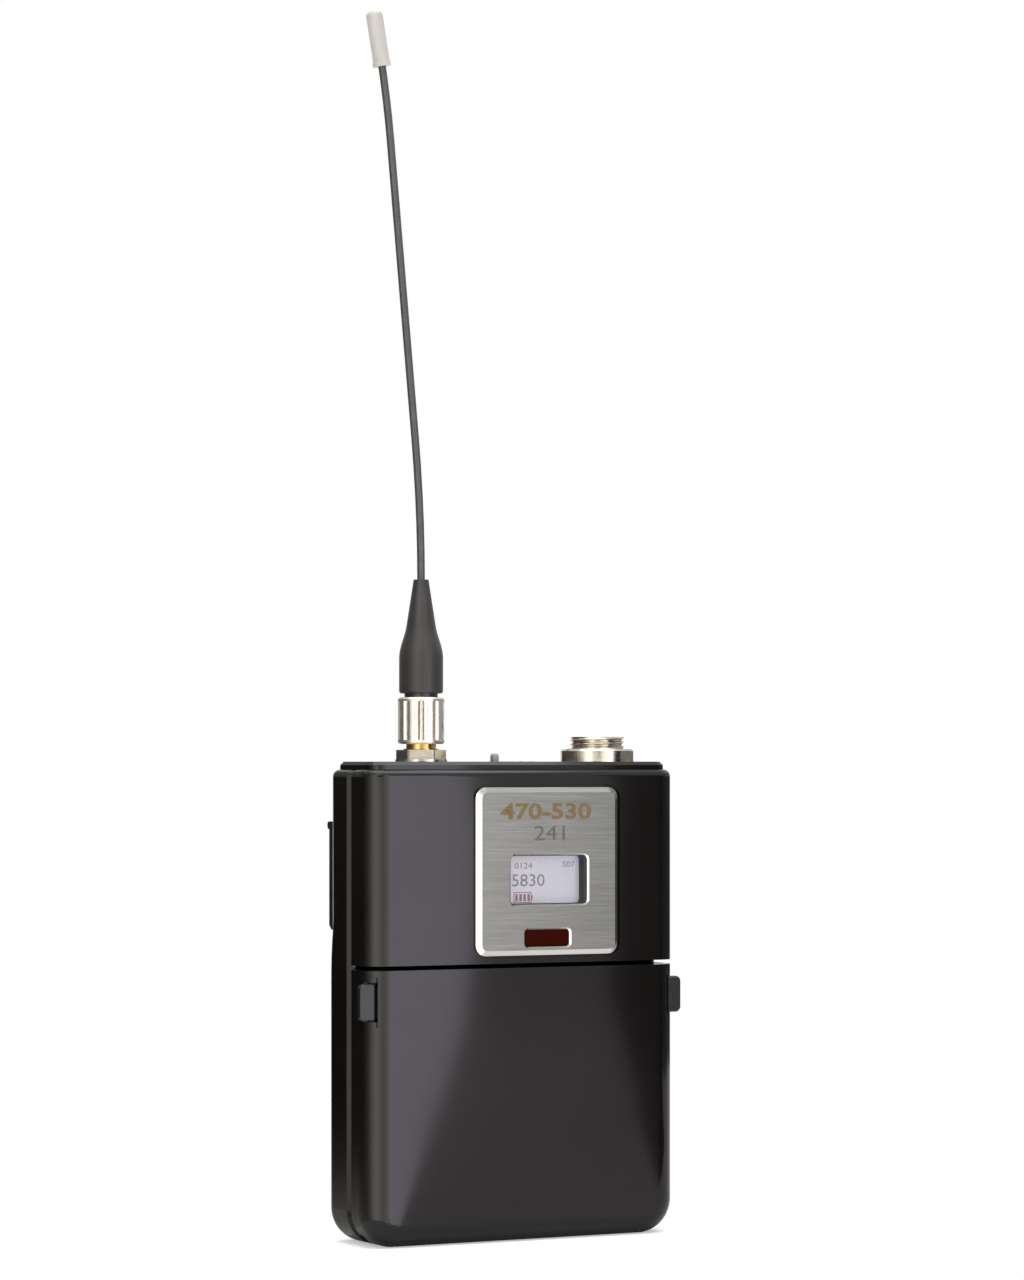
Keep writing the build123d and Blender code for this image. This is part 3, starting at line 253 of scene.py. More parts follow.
@dataclass(frozen=True)
class BrushedSteel(Finish):
    """Steel brushed along X: long fine lines that lighten and darken the sheet and steer its gloss. The cut
    bevels are polished lighter and smoother, except bevels that face up, which keep the sheet's tone and
    roughness as painted shade chosen by the way they face.
    """

    line_mm: float = 0.16
    line_length_mm: float = 9.0
    streak_mm: float = 1.1
    line_depth_mm: float = 2.0
    bright: str = "#d8d6d0"
    bright_roughness: float = 0.2

    def bevels(self, nodes: Nodes) -> Socket:
        """Finds the polished bevels: zero where the sheet faces the front, one where it turns away, but not
        up. Keeping the bevels that face up at zero is painted shade, so they stay as dark as the sheet under
        the overhead lamp.
        """
        turn = nodes.add("SeparateXYZ", {0: nodes.add("TexCoord").outputs["Normal"]})
        away = nodes.span(nodes.math("ABSOLUTE", turn.outputs["Y"]), 0.985, 0.93)
        return nodes.math("MULTIPLY", away, nodes.span(turn.outputs["Z"], 0.5, 0.25))

    def tone(self, nodes: Nodes, place: Socket) -> Socket:
        """Gives the line pattern's two tones, with line widths of two sizes, and the lighter polished tone
        on the bevels. That tone is kept off the bevels that face up, as painted shade.
        """
        fine = (self.line_length_mm, self.line_depth_mm, self.line_mm)
        wide = (3 * self.line_length_mm, self.line_depth_mm, self.streak_mm)
        lines = nodes.noise(nodes.scaled(place, fine), 1.0, detail=5.0, roughness=0.7)
        streaks = nodes.noise(nodes.scaled(place, wide), 1.0, detail=3.0, roughness=0.6)
        share = nodes.math("MULTIPLY", nodes.span(lines, 0.3, 0.7), streaks)
        sheet = nodes.mix(share, self.colour, self.second)
        return nodes.mix(self.bevels(nodes), sheet, self.bright)

    def gloss(self, nodes: Nodes, rough: Socket) -> Socket:
        """Makes the cut bevels smoother than the brushed sheet, but leaves the bevels that face up as rough
        as the sheet, as part of the same painted shade.
        """
        return nodes.add("Mix", {0: self.bevels(nodes), 2: rough, 3: self.bright_roughness},
                         data_type="FLOAT").outputs[0]


@dataclass(frozen=True)
class CircuitBoard(Finish):
    """Glass-fibre board under green mask: straight tracks shown as a slightly lighter grid of steps."""

    track: str = "#1f6b3c"
    cell_mm: float = 2.2

    def tone(self, nodes: Nodes, place: Socket) -> Socket:
        """Gives the mask with tracks, drawn as the borders of square cells."""
        far, near = (nodes.add("TexVoronoi", {"Vector": place, "Scale": 1 / (self.cell_mm * MM)},
                               distance="CHEBYCHEV", feature=feature).outputs["Distance"]
                     for feature in ("F2", "F1"))
        line = nodes.span(nodes.math("SUBTRACT", far, near), 0.16, 0.1)
        return nodes.mix(line, self.colour, self.track)


@dataclass(frozen=True)
class CellSleeve(Finish):
    """Battery cell: a printed sleeve in two plain bands, with bare steel at both ends."""

    band: str = "#b07a3c"
    steel: str = "#b9b7b2"
    end_x_mm: float = 24.4
    band_from_mm: float = 8.0
    blend_mm: float = 0.1

    def tone(self, nodes: Nodes, place: Socket) -> Socket:
        """Gives the bands, which depend only on the distance along the cell."""
        along = nodes.add("SeparateXYZ", {0: place}).outputs["X"]
        colour = self.colour
        for value, start, second in ((along, self.band_from_mm, self.band),
                                     (nodes.math("ABSOLUTE", along), self.end_x_mm, self.steel)):
            share = nodes.span(value, start * MM, (start + self.blend_mm) * MM)
            colour = nodes.mix(share, colour, second)
        return colour


@dataclass(frozen=True)
class ScreenPanel(Finish):
    """Lit display panel: a pale ground with a faint grid of picture cells."""

    cell_mm: float = 0.22
    turn_mm: tuple[float, float] = (-3.0, 12.0)

    def tone(self, nodes: Nodes, place: Socket) -> Socket:
        """Gives the pale ground, a little bluer to the right, with the grid lines slightly darker."""
        across = nodes.add("SeparateXYZ", {0: place}).outputs["X"]
        side = nodes.span(across, *(x * MM for x in self.turn_mm))
        line = nodes.add("TexWave", {"Vector": place, "Scale": 1 / (self.cell_mm * MM * 3.2)},
                         wave_type="BANDS", bands_direction="Z", wave_profile="SIN")
        faint = nodes.span(line.outputs["Fac"], 0.0, 1.0, (0.94, 1.0))
        return nodes.mix(1.0, nodes.mix(side, self.colour, self.second), faint, blend_type="MULTIPLY")


class Finishes:
    """All finishes, each named for what the real surface is and how it was made."""

    # die-cast light alloy under smooth black lacquer: a deep, even gloss with a trace of orange peel
    LACQUER = Finish(
        "lacquered_casting", "#0e0c0a", "#12100e", roughness=0.4, roughness_spread=0.03, specular=0.04,
        coat=0.62, coat_roughness=0.075, mottle_mm=14, grain_mm=0.9, grain_depth_mm=0.0008,
        edge="#3b3936", edge_mm=0.2, edge_amount=0.35)
    # stainless sheet brushed along its width: streaks and a stretched gloss; polished lighter bevels, with
    # painted shade keeping the bevels that face up at the sheet's tone
    STEEL = BrushedSteel(
        "brushed_stainless_sheet", "#6b6c67", "#9a9c95", roughness=0.36, roughness_spread=0.05,
        metallic=1.0, anisotropy=0.55, grain_mm=(9.0, 2.0, 0.14), grain_depth_mm=0.004)
    # bright nickel plate on turned brass: mirror-like, with turning rings
    NICKEL = Finish(
        "nickel_plated_brass", "#c9c3b8", "#b5aea2", roughness=0.17, roughness_spread=0.06, metallic=1.0,
        mottle_mm=3, grain_mm=(3.0, 3.0, 0.12), grain_depth_mm=0.0012, edge="#f2ede4", edge_mm=0.1,
        edge_amount=0.4)
    # the same plate over a knurled grip, which blasting has left satin
    SATIN = Finish(
        "satin_nickel_grip", "#e0dacf", "#d1cabd", roughness=0.3, roughness_spread=0.06, metallic=1.0,
        mottle_mm=2.5, grain_mm=(0.15, 0.15, 1.5), grain_depth_mm=0.002, edge="#e6e0d5", edge_mm=0.1,
        edge_amount=0.4)
    # thin gold plate: warm, slightly darker in patches
    GOLD = Finish(
        "gold_plated_brass", "#d0a966", "#a88350", roughness=0.18, roughness_spread=0.05, metallic=1.0,
        mottle_mm=2, grain_mm=(2.0, 2.0, 0.12), grain_depth_mm=0.001)
    # sprung sheet steel with black baked coating: finer and duller than the lacquer
    CLIP_STEEL = Finish(
        "black_coated_spring_steel", "#121212", "#181716", roughness=0.38, roughness_spread=0.06,
        mottle_mm=7, grain_mm=0.3, grain_depth_mm=0.006, coat=0.2, coat_roughness=0.25, edge="#6f6d69",
        edge_mm=0.2, edge_amount=0.6)
    # hard plastic moulded in a spark-eroded tool: dull, with a fine even texture
    MOULDED = Finish(
        "moulded_black_plastic", "#151515", "#1b1b1b", roughness=0.5, mottle_mm=6, grain_mm=0.25,
        grain_depth_mm=0.012, edge="#2f2f2f", edge_mm=0.15)
    # the latch levers: the same plastic, polished by fingers
    LEVER = Finish(
        "handled_black_plastic", "#0e0e0d", "#141413", roughness=0.36, roughness_spread=0.1, mottle_mm=2,
        grain_mm=0.25, grain_depth_mm=0.008, edge="#3a3936", edge_mm=0.3, edge_amount=0.6)
    GREY = Finish(
        "moulded_grey_plastic", "#a5a4a5", "#959495", roughness=0.42, mottle_mm=3, grain_mm=0.2,
        grain_depth_mm=0.006, edge="#b5b4b3", edge_mm=0.15)
    # white acetal cap: smooth and a little translucent
    CAP = Finish(
        "white_acetal_cap", "#cfccc6", "#c5c2bb", roughness=0.36, subsurface=0.15, mottle_mm=4,
        grain_mm=0.5, grain_depth_mm=0.003)
    PTFE = Finish(
        "white_fluoropolymer", "#efeeea", "#e4e2dc", roughness=0.5, subsurface=0.1, mottle_mm=2,
        grain_mm=0.2, grain_depth_mm=0.003)
    # moulded rubber: soft grey bloom over black
    RUBBER = Finish(
        "moulded_rubber", "#1b1917", "#252220", roughness=0.46, mottle_mm=4, grain_mm=(0.3, 0.3, 0.5),
        grain_depth_mm=0.008, sheen=0.08, specular=0.5, edge="#45423e", edge_mm=0.2, edge_amount=0.4)
    # thin plastic sleeve over a steel wire: faint rings along its length
    SLEEVED = Finish(
        "sleeved_antenna_wire", "#302f2d", "#413f3d", roughness=0.38, mottle_mm=1.4,
        grain_mm=(0.4, 0.4, 0.5), grain_depth_mm=0.01, specular=0.6, coat=0.3, coat_roughness=0.2)
    WIRE = Finish(
        "bright_spring_wire", "#b7b4ae", "#9c9993", roughness=0.22, metallic=1.0, mottle_mm=1.5,
        grain_mm=0.1, grain_depth_mm=0.001)
    GLASS = Finish(
        "clear_hard_coated_acrylic", "#ffffff", "#fbfcff", roughness=0.03, roughness_spread=0.01,
        ior=1.49, transmission=1.0, grain_depth_mm=0.0)
    PANEL = ScreenPanel(
        "lit_display_panel", "#b3b0b6", "#adafba", roughness=0.3, grain_depth_mm=0.0, glow=0.37)
    INK = Finish(
        "display_segments", "#6d6570", "#5d5560", roughness=0.5, glow=0.25, mottle_mm=0.6,
        grain_depth_mm=0.0)
    RED_INK = replace(INK, name="display_level_bars", colour="#7d4f55", second="#6b4349")
    # dark red acrylic that passes infrared: glossy, nearly black in depth
    RED = Finish(
        "infrared_filter_acrylic", "#340902", "#3f0b03", roughness=0.3, roughness_spread=0.03,
        mottle_mm=5, grain_mm=1.5, grain_depth_mm=0.001, specular=0.02)
    BOARD = CircuitBoard(
        "green_masked_board", "#0f4425", "#0f4425", roughness=0.3, coat=0.3, grain_mm=0.3,
        grain_depth_mm=0.004)
    CELL = CellSleeve(
        "sleeved_battery_cell", "#1d2126", "#1d2126", roughness=0.28, metallic=0.5, coat=0.4,
        grain_mm=0.5, grain_depth_mm=0.002)
    # gold-brown pad printing with slightly broken edges
    PRINT = Finish(
        "gold_pad_print", "#786334", "#6c592f", roughness=0.55, mottle_mm=0.8, grain_mm=0.2,
        grain_depth_mm=0.003)
    GREY_PRINT = replace(PRINT, name="grey_pad_print", colour="#5d5a50", second="#545148")
    MARKING = Finish(
        "pale_moulded_marking", "#b9b9b6", "#a9a9a6", roughness=0.5, mottle_mm=1.0, grain_mm=0.2,
        grain_depth_mm=0.004)
    LENS = Finish(
        "frosted_lamp_lens", "#c9d2c6", "#bcc7ba", roughness=0.2, transmission=0.55, mottle_mm=1.0,
        grain_mm=0.2, grain_depth_mm=0.003)


# ---------------- surfaces
def quads(rows: int, columns: int, wrap: bool) -> np.ndarray:
    """Numbers the four corners of every cell of a grid of points.

    Args:
        rows: Points along the first parameter.
        columns: Points along the second parameter.
        wrap: Whether the last column joins the first.

    Returns:
        One row of four point numbers for each cell.
    """
    row = np.arange(rows - 1)[:, None] * columns
    column = np.arange(columns if wrap else columns - 1)[None, :]
    across = (column + 1) % columns
    corners = [row + column, row + across, row + columns + across, row + columns + column]
    return np.stack([c.ravel() for c in np.broadcast_arrays(*corners)], axis=1)


def turned(profile: Sequence[tuple[float, float]], steps: int = 72,
           cut: RadiusCut | None = None) -> Surface:
    """Turns a profile round the Z axis.

    The point at angle a and profile place s is (r cos a, r sin a, h), where r and h are the
    profile's radius and height at s, and r is changed by cut(angle, height, r) if one is given.

    Args:
        profile: Radius and height pairs from one end of the closed outline to the other.
        steps: Points round the axis.
        cut: Optional change to the radius.

    Returns:
        Points in millimetres, and quads.
    """
    line = np.array(profile, float)
    angle = np.linspace(0, 2 * np.pi, steps, endpoint=False)[None, :]
    radius = np.repeat(line[:, :1], steps, axis=1)
    height = np.repeat(line[:, 1:], steps, axis=1)
    if cut:
        radius = cut(np.repeat(angle, len(line), axis=0), height, radius)
    points = np.stack([radius * np.cos(angle), radius * np.sin(angle), height], axis=-1)
    return points.reshape(-1, 3), quads(len(line), steps, True)


def tube(path: np.ndarray, radius: float, sides: int = 10) -> Surface:
    """Carries a circle along a path and closes both ends to a point.

    At each path point the circle lies in the plane of two directions square to the path: the path's
    direction crossed with a fixed helper, and that result crossed with the direction again.

    Args:
        path: Points along the middle of the wire.
        radius: Radius of the wire.
        sides: Points round the wire.

    Returns:
        Points in millimetres, and quads.
    """
    ahead = np.gradient(path, axis=0)
    ahead /= np.linalg.norm(ahead, axis=1, keepdims=True)
    helper = np.where(np.abs(ahead[:, :1]) < 0.9, [[1.0, 0.0, 0.0]], [[0.0, 0.0, 1.0]])
    side = np.cross(ahead, helper)
    side /= np.linalg.norm(side, axis=1, keepdims=True)
    up = np.cross(side, ahead)
    angle = np.linspace(0, 2 * np.pi, sides, endpoint=False)
    ring = side[:, None] * np.cos(angle)[None, :, None] + up[:, None] * np.sin(angle)[None, :, None]
    body = path[:, None] + radius * ring
    ends = [np.repeat(path[i][None, None], sides, axis=1) for i in (0, -1)]
    points = np.concatenate([ends[0], body, ends[1]])
    return points.reshape(-1, 3), quads(len(points), sides, True)


def lofted(rings: Sequence[tuple[np.ndarray, float | np.ndarray]]) -> Surface:
    """Joins rings of equally many points, each with its height or heights, into one skin."""
    points = [np.column_stack([line, np.broadcast_to(rise, len(line))]) for line, rise in rings]
    return np.concatenate(points), quads(len(rings), len(rings[0][0]), True)


def shares_of(outline: np.ndarray, shares: Sequence[float], heights: Sequence[float]) -> Surface:
    """Lofts an outline about its middle times each share, at each height."""
    middle = outline.mean(axis=0)
    return lofted([(middle + share * (outline - middle), rise) for share, rise in zip(shares, heights)])


def pad(outline: np.ndarray, depth: float, soft: float = 0.85) -> Surface:
    """Raises a shape from a flat face, with its edge rounded over.

    Rings run from the middle outwards at a share of the outline, then down the side; each is lower
    than the last near the edge.

    Args:
        outline: Points of the edge, in the plane.
        depth: Height of the raised face.
        soft: Share of the outline at which the face starts to fall.

    Returns:
        Points in millimetres with height along the third axis, and quads.
    """
    return shares_of(outline, (0.0, 0.5, soft, (1 + soft) / 2, 1.0, 1.0),
                     depth * np.array([1.0, 1.0, 1.0, 0.9, 0.55, -0.3]))


def slab(outline: np.ndarray, thickness: float, bevel: float) -> Surface:
    """Closes an outline into a plate with bevelled edges on both faces.

    Rings run from the middle of the upper face to its edge, down the side and back to the middle of
    the lower face; the rings next to the faces are drawn in by the bevel.

    Args:
        outline: Edge points in the plane.
        thickness: Thickness, from height zero down.
        bevel: Width of the edge bevel.

    Returns:
        Points in millimetres, and quads.
    """
    inner = 1 - bevel / np.abs(outline - outline.mean(axis=0)).max()
    return shares_of(outline, (0.0, inner, 1.0, 1.0, inner, 0.0),
                     (0.0, 0.0, -bevel, bevel - thickness, -thickness, -thickness))


def circle(radius: float, steps: int) -> np.ndarray:
    """Gives the points of a circle about the middle."""
    angle = np.linspace(0, 2 * np.pi, steps, endpoint=False)
    return radius * np.stack([np.cos(angle), np.sin(angle)], axis=-1)


def rounded_outline(width: float, height: float, corner: float, steps: int = 6) -> np.ndarray:
    """Gives the edge of a rectangle with round corners.

    Each corner is a quarter circle about a point set in by the corner radius.

    Args:
        width: Size across.
        height: Size up.
        corner: Radius of the corners.
        steps: Points in each corner.

    Returns:
        Edge points about the middle.
    """
    turn = np.linspace(0, np.pi / 2, steps)
    quarter = np.arange(4)[:, None] * np.pi / 2
    angle = (quarter + turn[None]).ravel()
    sign = np.sign(np.stack([np.cos(quarter + np.pi / 4), np.sin(quarter + np.pi / 4)], axis=-1))
    centre = sign * np.array([width / 2 - corner, height / 2 - corner])
    centre = np.repeat(centre.reshape(4, 2), steps, axis=0)
    return centre + corner * np.stack([np.cos(angle), np.sin(angle)], axis=-1)


def join(*surfaces: Surface) -> Surface:
    """Joins surfaces into one set of points and quads."""
    counts = np.cumsum([0] + [len(points) for points, _ in surfaces[:-1]])
    return (np.concatenate([points for points, _ in surfaces]),
            np.concatenate([cells + start for (_, cells), start in zip(surfaces, counts)]))


def place(surface: Surface, at: Sequence[float], faces: str = "z") -> Surface:
    """Turns a surface so that its third axis faces a way, and moves it.

    Args:
        surface: Points and quads about the origin.
        at: Where its origin goes, in millimetres.
        faces: "z" as it is, "front" for -Y, "back" for +Y, "x" for +X or "-x" for -X.

    Returns:
        The placed surface.
    """
    turns = {"z": [[1, 0, 0], [0, 1, 0], [0, 0, 1]], "front": [[1, 0, 0], [0, 0, 1], [0, -1, 0]],
             "back": [[-1, 0, 0], [0, 0, 1], [0, 1, 0]], "x": [[0, 1, 0], [0, 0, 1], [1, 0, 0]],
             "-x": [[0, -1, 0], [0, 0, 1], [-1, 0, 0]]}
    points, cells = surface
    return points @ np.array(turns[faces], float) + np.array(at, float), cells


def coil(radius: float, start: float, end: float, turns: float, end_radius: float | None = None,
         steps: int = 20) -> np.ndarray:
    """Gives the middle line of a coil spring about the X axis.

    At share t the point is at x = start + (end - start) t, at the radius between the two radii, and
    at the angle 2 pi turns t.

    Args:
        radius: Radius at the start.
        start: Where it starts along X.
        end: Where it ends along X.
        turns: Number of turns.
        end_radius: Radius at the end, if it differs.
        steps: Points in each turn.

    Returns:
        Points along the wire.
    """
    share = np.linspace(0, 1, int(turns * steps) + 1)
    size = radius + ((end_radius or radius) - radius) * share
    angle = 2 * np.pi * turns * share
    return np.stack([start + (end - start) * share, size * np.cos(angle), size * np.sin(angle)], axis=-1)


def thread_wave(angle: np.ndarray, height: np.ndarray, pitch: float) -> np.ndarray:
    """Gives a wave from 0 to 1 that climbs one pitch in a turn: (1 - cos(2 pi h / p - a)) / 2."""
    return 0.5 - 0.5 * np.cos(2 * np.pi * (height / pitch - angle / (2 * np.pi)))


def screw_thread(pitch: float, depth: float, low: float, high: float) -> RadiusCut:
    """Cuts a right-handed thread into the outer wall of a turned piece.

    The radius loses the depth times a rounded saw wave of height over pitch less angle over a turn,
    and the cut fades out within a third of a pitch of both ends.

    Args:
        pitch: Distance between crests.
        depth: Depth of the groove.
        low: Where the thread starts.
        high: Where it ends.

    Returns:
        A change of radius for turned().
    """
    def cut(angle: np.ndarray, height: np.ndarray, radius: np.ndarray) -> np.ndarray:
        """Gives the radius with the groove taken off the outer wall only."""
        wave = thread_wave(angle, height, pitch)
        fade = np.clip(np.minimum(height - low, high - height) / (pitch / 3), 0, 1)
        outer = radius > radius.max() - 0.02
        return np.where(outer, radius - depth * fade * wave ** 0.7, radius)
    return cut


def wall(radius: float, low: float, high: float, step: float) -> list[tuple[float, float]]:
    """Divides a straight wall into short steps, so that a thread can be cut into it."""
    return [(radius, float(z)) for z in np.linspace(low, high, max(2, int((high - low) / step)))]


# ---------------- pieces
def measure(node: str) -> tuple[np.ndarray, np.ndarray, np.ndarray]:
    """Gives the low corner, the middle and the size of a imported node's box, in millimetres."""
    low, high = (np.array(corner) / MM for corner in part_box(node))
    return low, (low + high) / 2, high - low


def new_object(name: str, data: bpy.types.ID) -> bpy.types.Object:
    """Adds an object to the scene for a mesh, a lamp or a camera."""
    made = bpy.data.objects.new(name, data)
    bpy.context.scene.collection.objects.link(made)
    return made


def add_piece(name: str, mesh: bpy.types.Mesh, body: str, finish: Finish,
              replaces: Sequence[str] = (), sharp_deg: float = 38.0) -> bpy.types.Object:
    """Cleans, shades and paints a mesh, and rides it on its body.

    Args:
        name: Name of the piece.
        mesh: Its mesh, in metres.
        body: Body that it rides on.
        finish: Finish that it gets.
        replaces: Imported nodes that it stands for.
        sharp_deg: Angle over which an edge stays sharp.

    Returns:
        The new object, at the origin.
    """
    work = bmesh.new()
    work.from_mesh(mesh)
    bmesh.ops.remove_doubles(work, verts=work.verts, dist=1e-7)
    bmesh.ops.recalc_face_normals(work, faces=work.faces)
    work.to_mesh(mesh)
    work.free()
    mesh.polygons.foreach_set("use_smooth", np.ones(len(mesh.polygons), bool))
    mesh.set_sharp_from_angle(angle=math.radians(sharp_deg))
    mesh.materials.clear()
    mesh.materials.append(finish.material())
    piece = new_object(name, mesh)
    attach(piece, body)
    if replaces:
        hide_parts(*replaces)
    log.info("%s: %d faces on %s", name, len(mesh.polygons), body)
    return piece


def make_piece(name: str, surface: Surface, body: str, finish: Finish,
               replaces: Sequence[str] = ()) -> bpy.types.Object:
    """Makes a piece from points in millimetres and quads; the rest is as for add_piece."""
    points, cells = surface
    mesh = bpy.data.meshes.new(name)
    mesh.from_pydata(points * MM, [], cells.tolist())
    return add_piece(name, mesh, body, finish, replaces)


def numerals(name: str, text: str, size: tuple[float, float], at: tuple[float, float, float],
             finish: Finish, weight: float = 0.0, depth: float = 0.02) -> bpy.types.Object:
    """Writes plain numbers on a face of the case that looks to the front.

    Args:
        name: Name of the piece.
        text: Digits to write.
        size: Width and height of the writing.
        at: Middle of the writing, with its face at the given depth.
        finish: Finish that it gets.
        weight: How much each stroke is thickened, as a share of the letter size.
        depth: Thickness of the print.

    Returns:
        The new object, at the origin.
    """
    curve = bpy.data.curves.new(name + "_text", "FONT")
    curve.body, curve.extrude, curve.offset, curve.resolution_u = text, 0.05, weight, 3
    holder = new_object(name + "_text", curve)
    mesh = bpy.data.meshes.new_from_object(holder.evaluated_get(bpy.context.evaluated_depsgraph_get()))
    bpy.data.objects.remove(holder)
    bpy.data.curves.remove(curve)
    points = np.empty(len(mesh.vertices) * 3)
    mesh.vertices.foreach_get("co", points)
    points = points.reshape(-1, 3)
    low, high = points.min(axis=0), points.max(axis=0)
    wanted = np.array([size[0], size[1], depth])
    scaled = (points - (low + high) / 2) / (high - low) * wanted
    laid = np.stack([scaled[:, 0], -scaled[:, 2], scaled[:, 1]], axis=-1) + np.array(at)
    mesh.vertices.foreach_set("co", (laid * MM).ravel())
    mesh.name = name
    return add_piece(name, mesh, Body.CASE, finish, sharp_deg=30)


def paint(finish: Finish, *names: str) -> None:
    """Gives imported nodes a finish."""
    for name in names:
        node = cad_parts[name]
        node.data.materials.clear()
        node.data.materials.append(finish.material())
        log.info("%s: %s", name, finish.name)


# ---------------- sub-assemblies
@dataclass
class Case:
    """The two cast housings, the top plate and the four screws that hold them together."""

    head_radius: float = 1.9
    head_height: float = 1.2
    head_top_y: float = 8.8
    shank_radius: float = 1.0
    shank_end: float = -13.6
    socket_radius: float = 0.8
    socket_depth: float = 0.75
    lobe: float = 0.13
    pitch: float = 0.7
    thread_depth: float = 0.16
    places: tuple[tuple[float, float], ...] = ((-27.4, 79.0), (27.4, 79.0), (-20.5, 54.6), (20.5, 54.6))

    def star(self, angle: np.ndarray, height: np.ndarray, radius: np.ndarray) -> np.ndarray:
        """Gives the six-lobed socket in the head and the thread on the shank.

        Inside the socket the radius is multiplied by 1 plus the lobe times the cosine of six angles;
        on the shank the thread's wave is taken off.
        """
        lobed = np.where((radius < self.socket_radius + 0.1) & (height > -1.0),
                         radius * (1 + self.lobe * np.cos(6 * angle)), radius)
        shank = (height < -1.9) & (height > self.shank_end + 0.5)
        return np.where(shank, lobed - self.thread_depth * thread_wave(angle, height, self.pitch), lobed)

    def screw(self) -> Surface:
        """Turns one screw, head up at height zero."""
        head, depth, size = self.head_radius, self.socket_depth, self.socket_radius
        profile = [(0, -depth), (size * 0.97, -depth), (size, -depth + 0.05), (size, -0.06),
                   (size + 0.06, 0), (head - 0.3, 0), (head - 0.08, -0.08), (head, -0.3),
                   (head, -self.head_height), (self.shank_radius, -self.head_height)]
        profile += wall(self.shank_radius, -self.head_height - 0.1, self.shank_end + 0.4, 0.12)
        profile += [(self.shank_radius * 0.7, self.shank_end + 0.1), (0, self.shank_end)]
        return turned(profile, 36, self.star)

    def build(self) -> None:
        """Makes the screws and dresses the housings."""
        screws = [place(self.screw(), (x, self.head_top_y, z), "back") for x, z in self.places]
        make_piece("socket_head_screws", join(*screws), Body.CASE, Finishes.CLIP_STEEL,
                   ["case_screws"])
        paint(Finishes.LACQUER, "front_housing", "rear_housing", "top_plate")


@dataclass
class Display:
    """Brushed bezel, clear window, lit panel with plain numbers and level bars, and the red filter."""

    lens_thickness: float = 0.5
    lens_bevel: float = 0.08
    lens_corner: float = 0.4
    liner_gap: float = 0.14
    liner_wall: float = 0.1
    liner_step: float = 0.5
    liner_corner: float = 0.85
    liner_depths: tuple[float, float] = (1.5, -0.55)
    bar_count: int = 4
    bar_pitch: float = 0.82
    bar_size: tuple[float, float] = (0.5, 1.25)
    bars_at: tuple[float, float] = (-1.2, 61.6)
    frame_line: float = 0.16
    ink_depth: float = 0.015

    def lens(self) -> Surface:
        """Gives the clear window as a bevelled plate just in front of the panel."""
        low, middle, size = measure("display_window")
        outline = rounded_outline(size[0], size[2], self.lens_corner)
        plate = slab(outline, self.lens_thickness, self.lens_bevel)
        return place(plate, (middle[0], low[1], middle[2]), "front")

    def liner(self) -> Surface:
        """Gives the thin dark frame that lines the opening from the bevel down to the panel.

        Its cross-section is a rectangle carried round the opening's rounded outline; the right side
        is wider by a step.
        """
        low, middle, size = measure("display_window")
        width, height = size[[0, 2]] + 2 * self.liner_gap
        thin, step = self.liner_wall, self.liner_step
        outer = rounded_outline(width, height, self.liner_corner)
        inner = rounded_outline(width - 2 * thin - step, height - 2 * thin, self.liner_corner - thin)
        inner = inner - np.array([step / 2, 0.0])
        front, back = self.liner_depths
        skin = lofted([(outer, front), (inner, front), (inner, back), (outer, back), (outer, front)])
        return place(skin, (middle[0], low[1], middle[2]), "front")

    def bars(self, face: float) -> Surface:
        """Gives the level bars and the line frame round them.

        Args:
            face: Depth of the panel's face.

        Returns:
            Flat pads on the panel.
        """
        x0, z0 = self.bars_at
        bar = rounded_outline(*self.bar_size, 0.05, 3)
        made = [place(pad(bar, self.ink_depth), (x0 + i * self.bar_pitch, face, z0), "front")
                for i in range(self.bar_count)]
        middle = x0 + (self.bar_count - 1) * self.bar_pitch / 2
        wide, tall, line = self.bar_count * self.bar_pitch + 0.2, self.bar_size[1] + 0.55, self.frame_line
        for dx, dz, width, height in ((0, tall / 2, wide, line), (0, -tall / 2, wide, line),
                                      (wide / 2, 0, line, tall), (-wide / 2, 0, line, tall),
                                      (wide / 2 + 0.2, 0, 0.2, 0.7)):
            outline = rounded_outline(width, height, 0.04, 3)
            made.append(place(pad(outline, self.ink_depth), (middle + dx, face, z0 + dz), "front"))
        return join(*made)

    def build(self) -> None:
        """Makes the window, the numbers and the bars, and dresses the nodes."""
        make_piece("display_lens", self.lens(), Body.CASE, Finishes.GLASS,
                   ["display_window"])
        make_piece("display_liner", self.liner(), Body.CASE, Finishes.MOULDED)
        face = measure("display_module")[0][1] - 0.01
        make_piece("display_level_bars", self.bars(face), Body.CASE, Finishes.RED_INK)
        for name, text, size, x, z in (("display_number_small", "0124", (3.6, 1.05), 0.2, 67.3),
                                       ("display_number_side", "507", (2.4, 1.0), 9.4, 67.5),
                                       ("display_number_large", "5830", (6.6, 2.2), 1.2, 64.7)):
            numerals(name, text, size, (x, face, z), Finishes.INK)
        front = measure("bezel_plate")[0][1]
        numerals("bezel_number_upper", "470-530", (18.4, 3.0), (3.6, front, 77.1),
                 Finishes.PRINT, weight=0.03, depth=0.03)
        numerals("bezel_number_lower", "241", (6.2, 2.6), (4.3, front, 73.2),
                 Finishes.GREY_PRINT)
        paint(Finishes.STEEL, "bezel_plate")
        paint(Finishes.MOULDED, "display_gasket", "ir_emitter")
        paint(Finishes.PANEL, "display_module")
        paint(Finishes.RED, "ir_window")


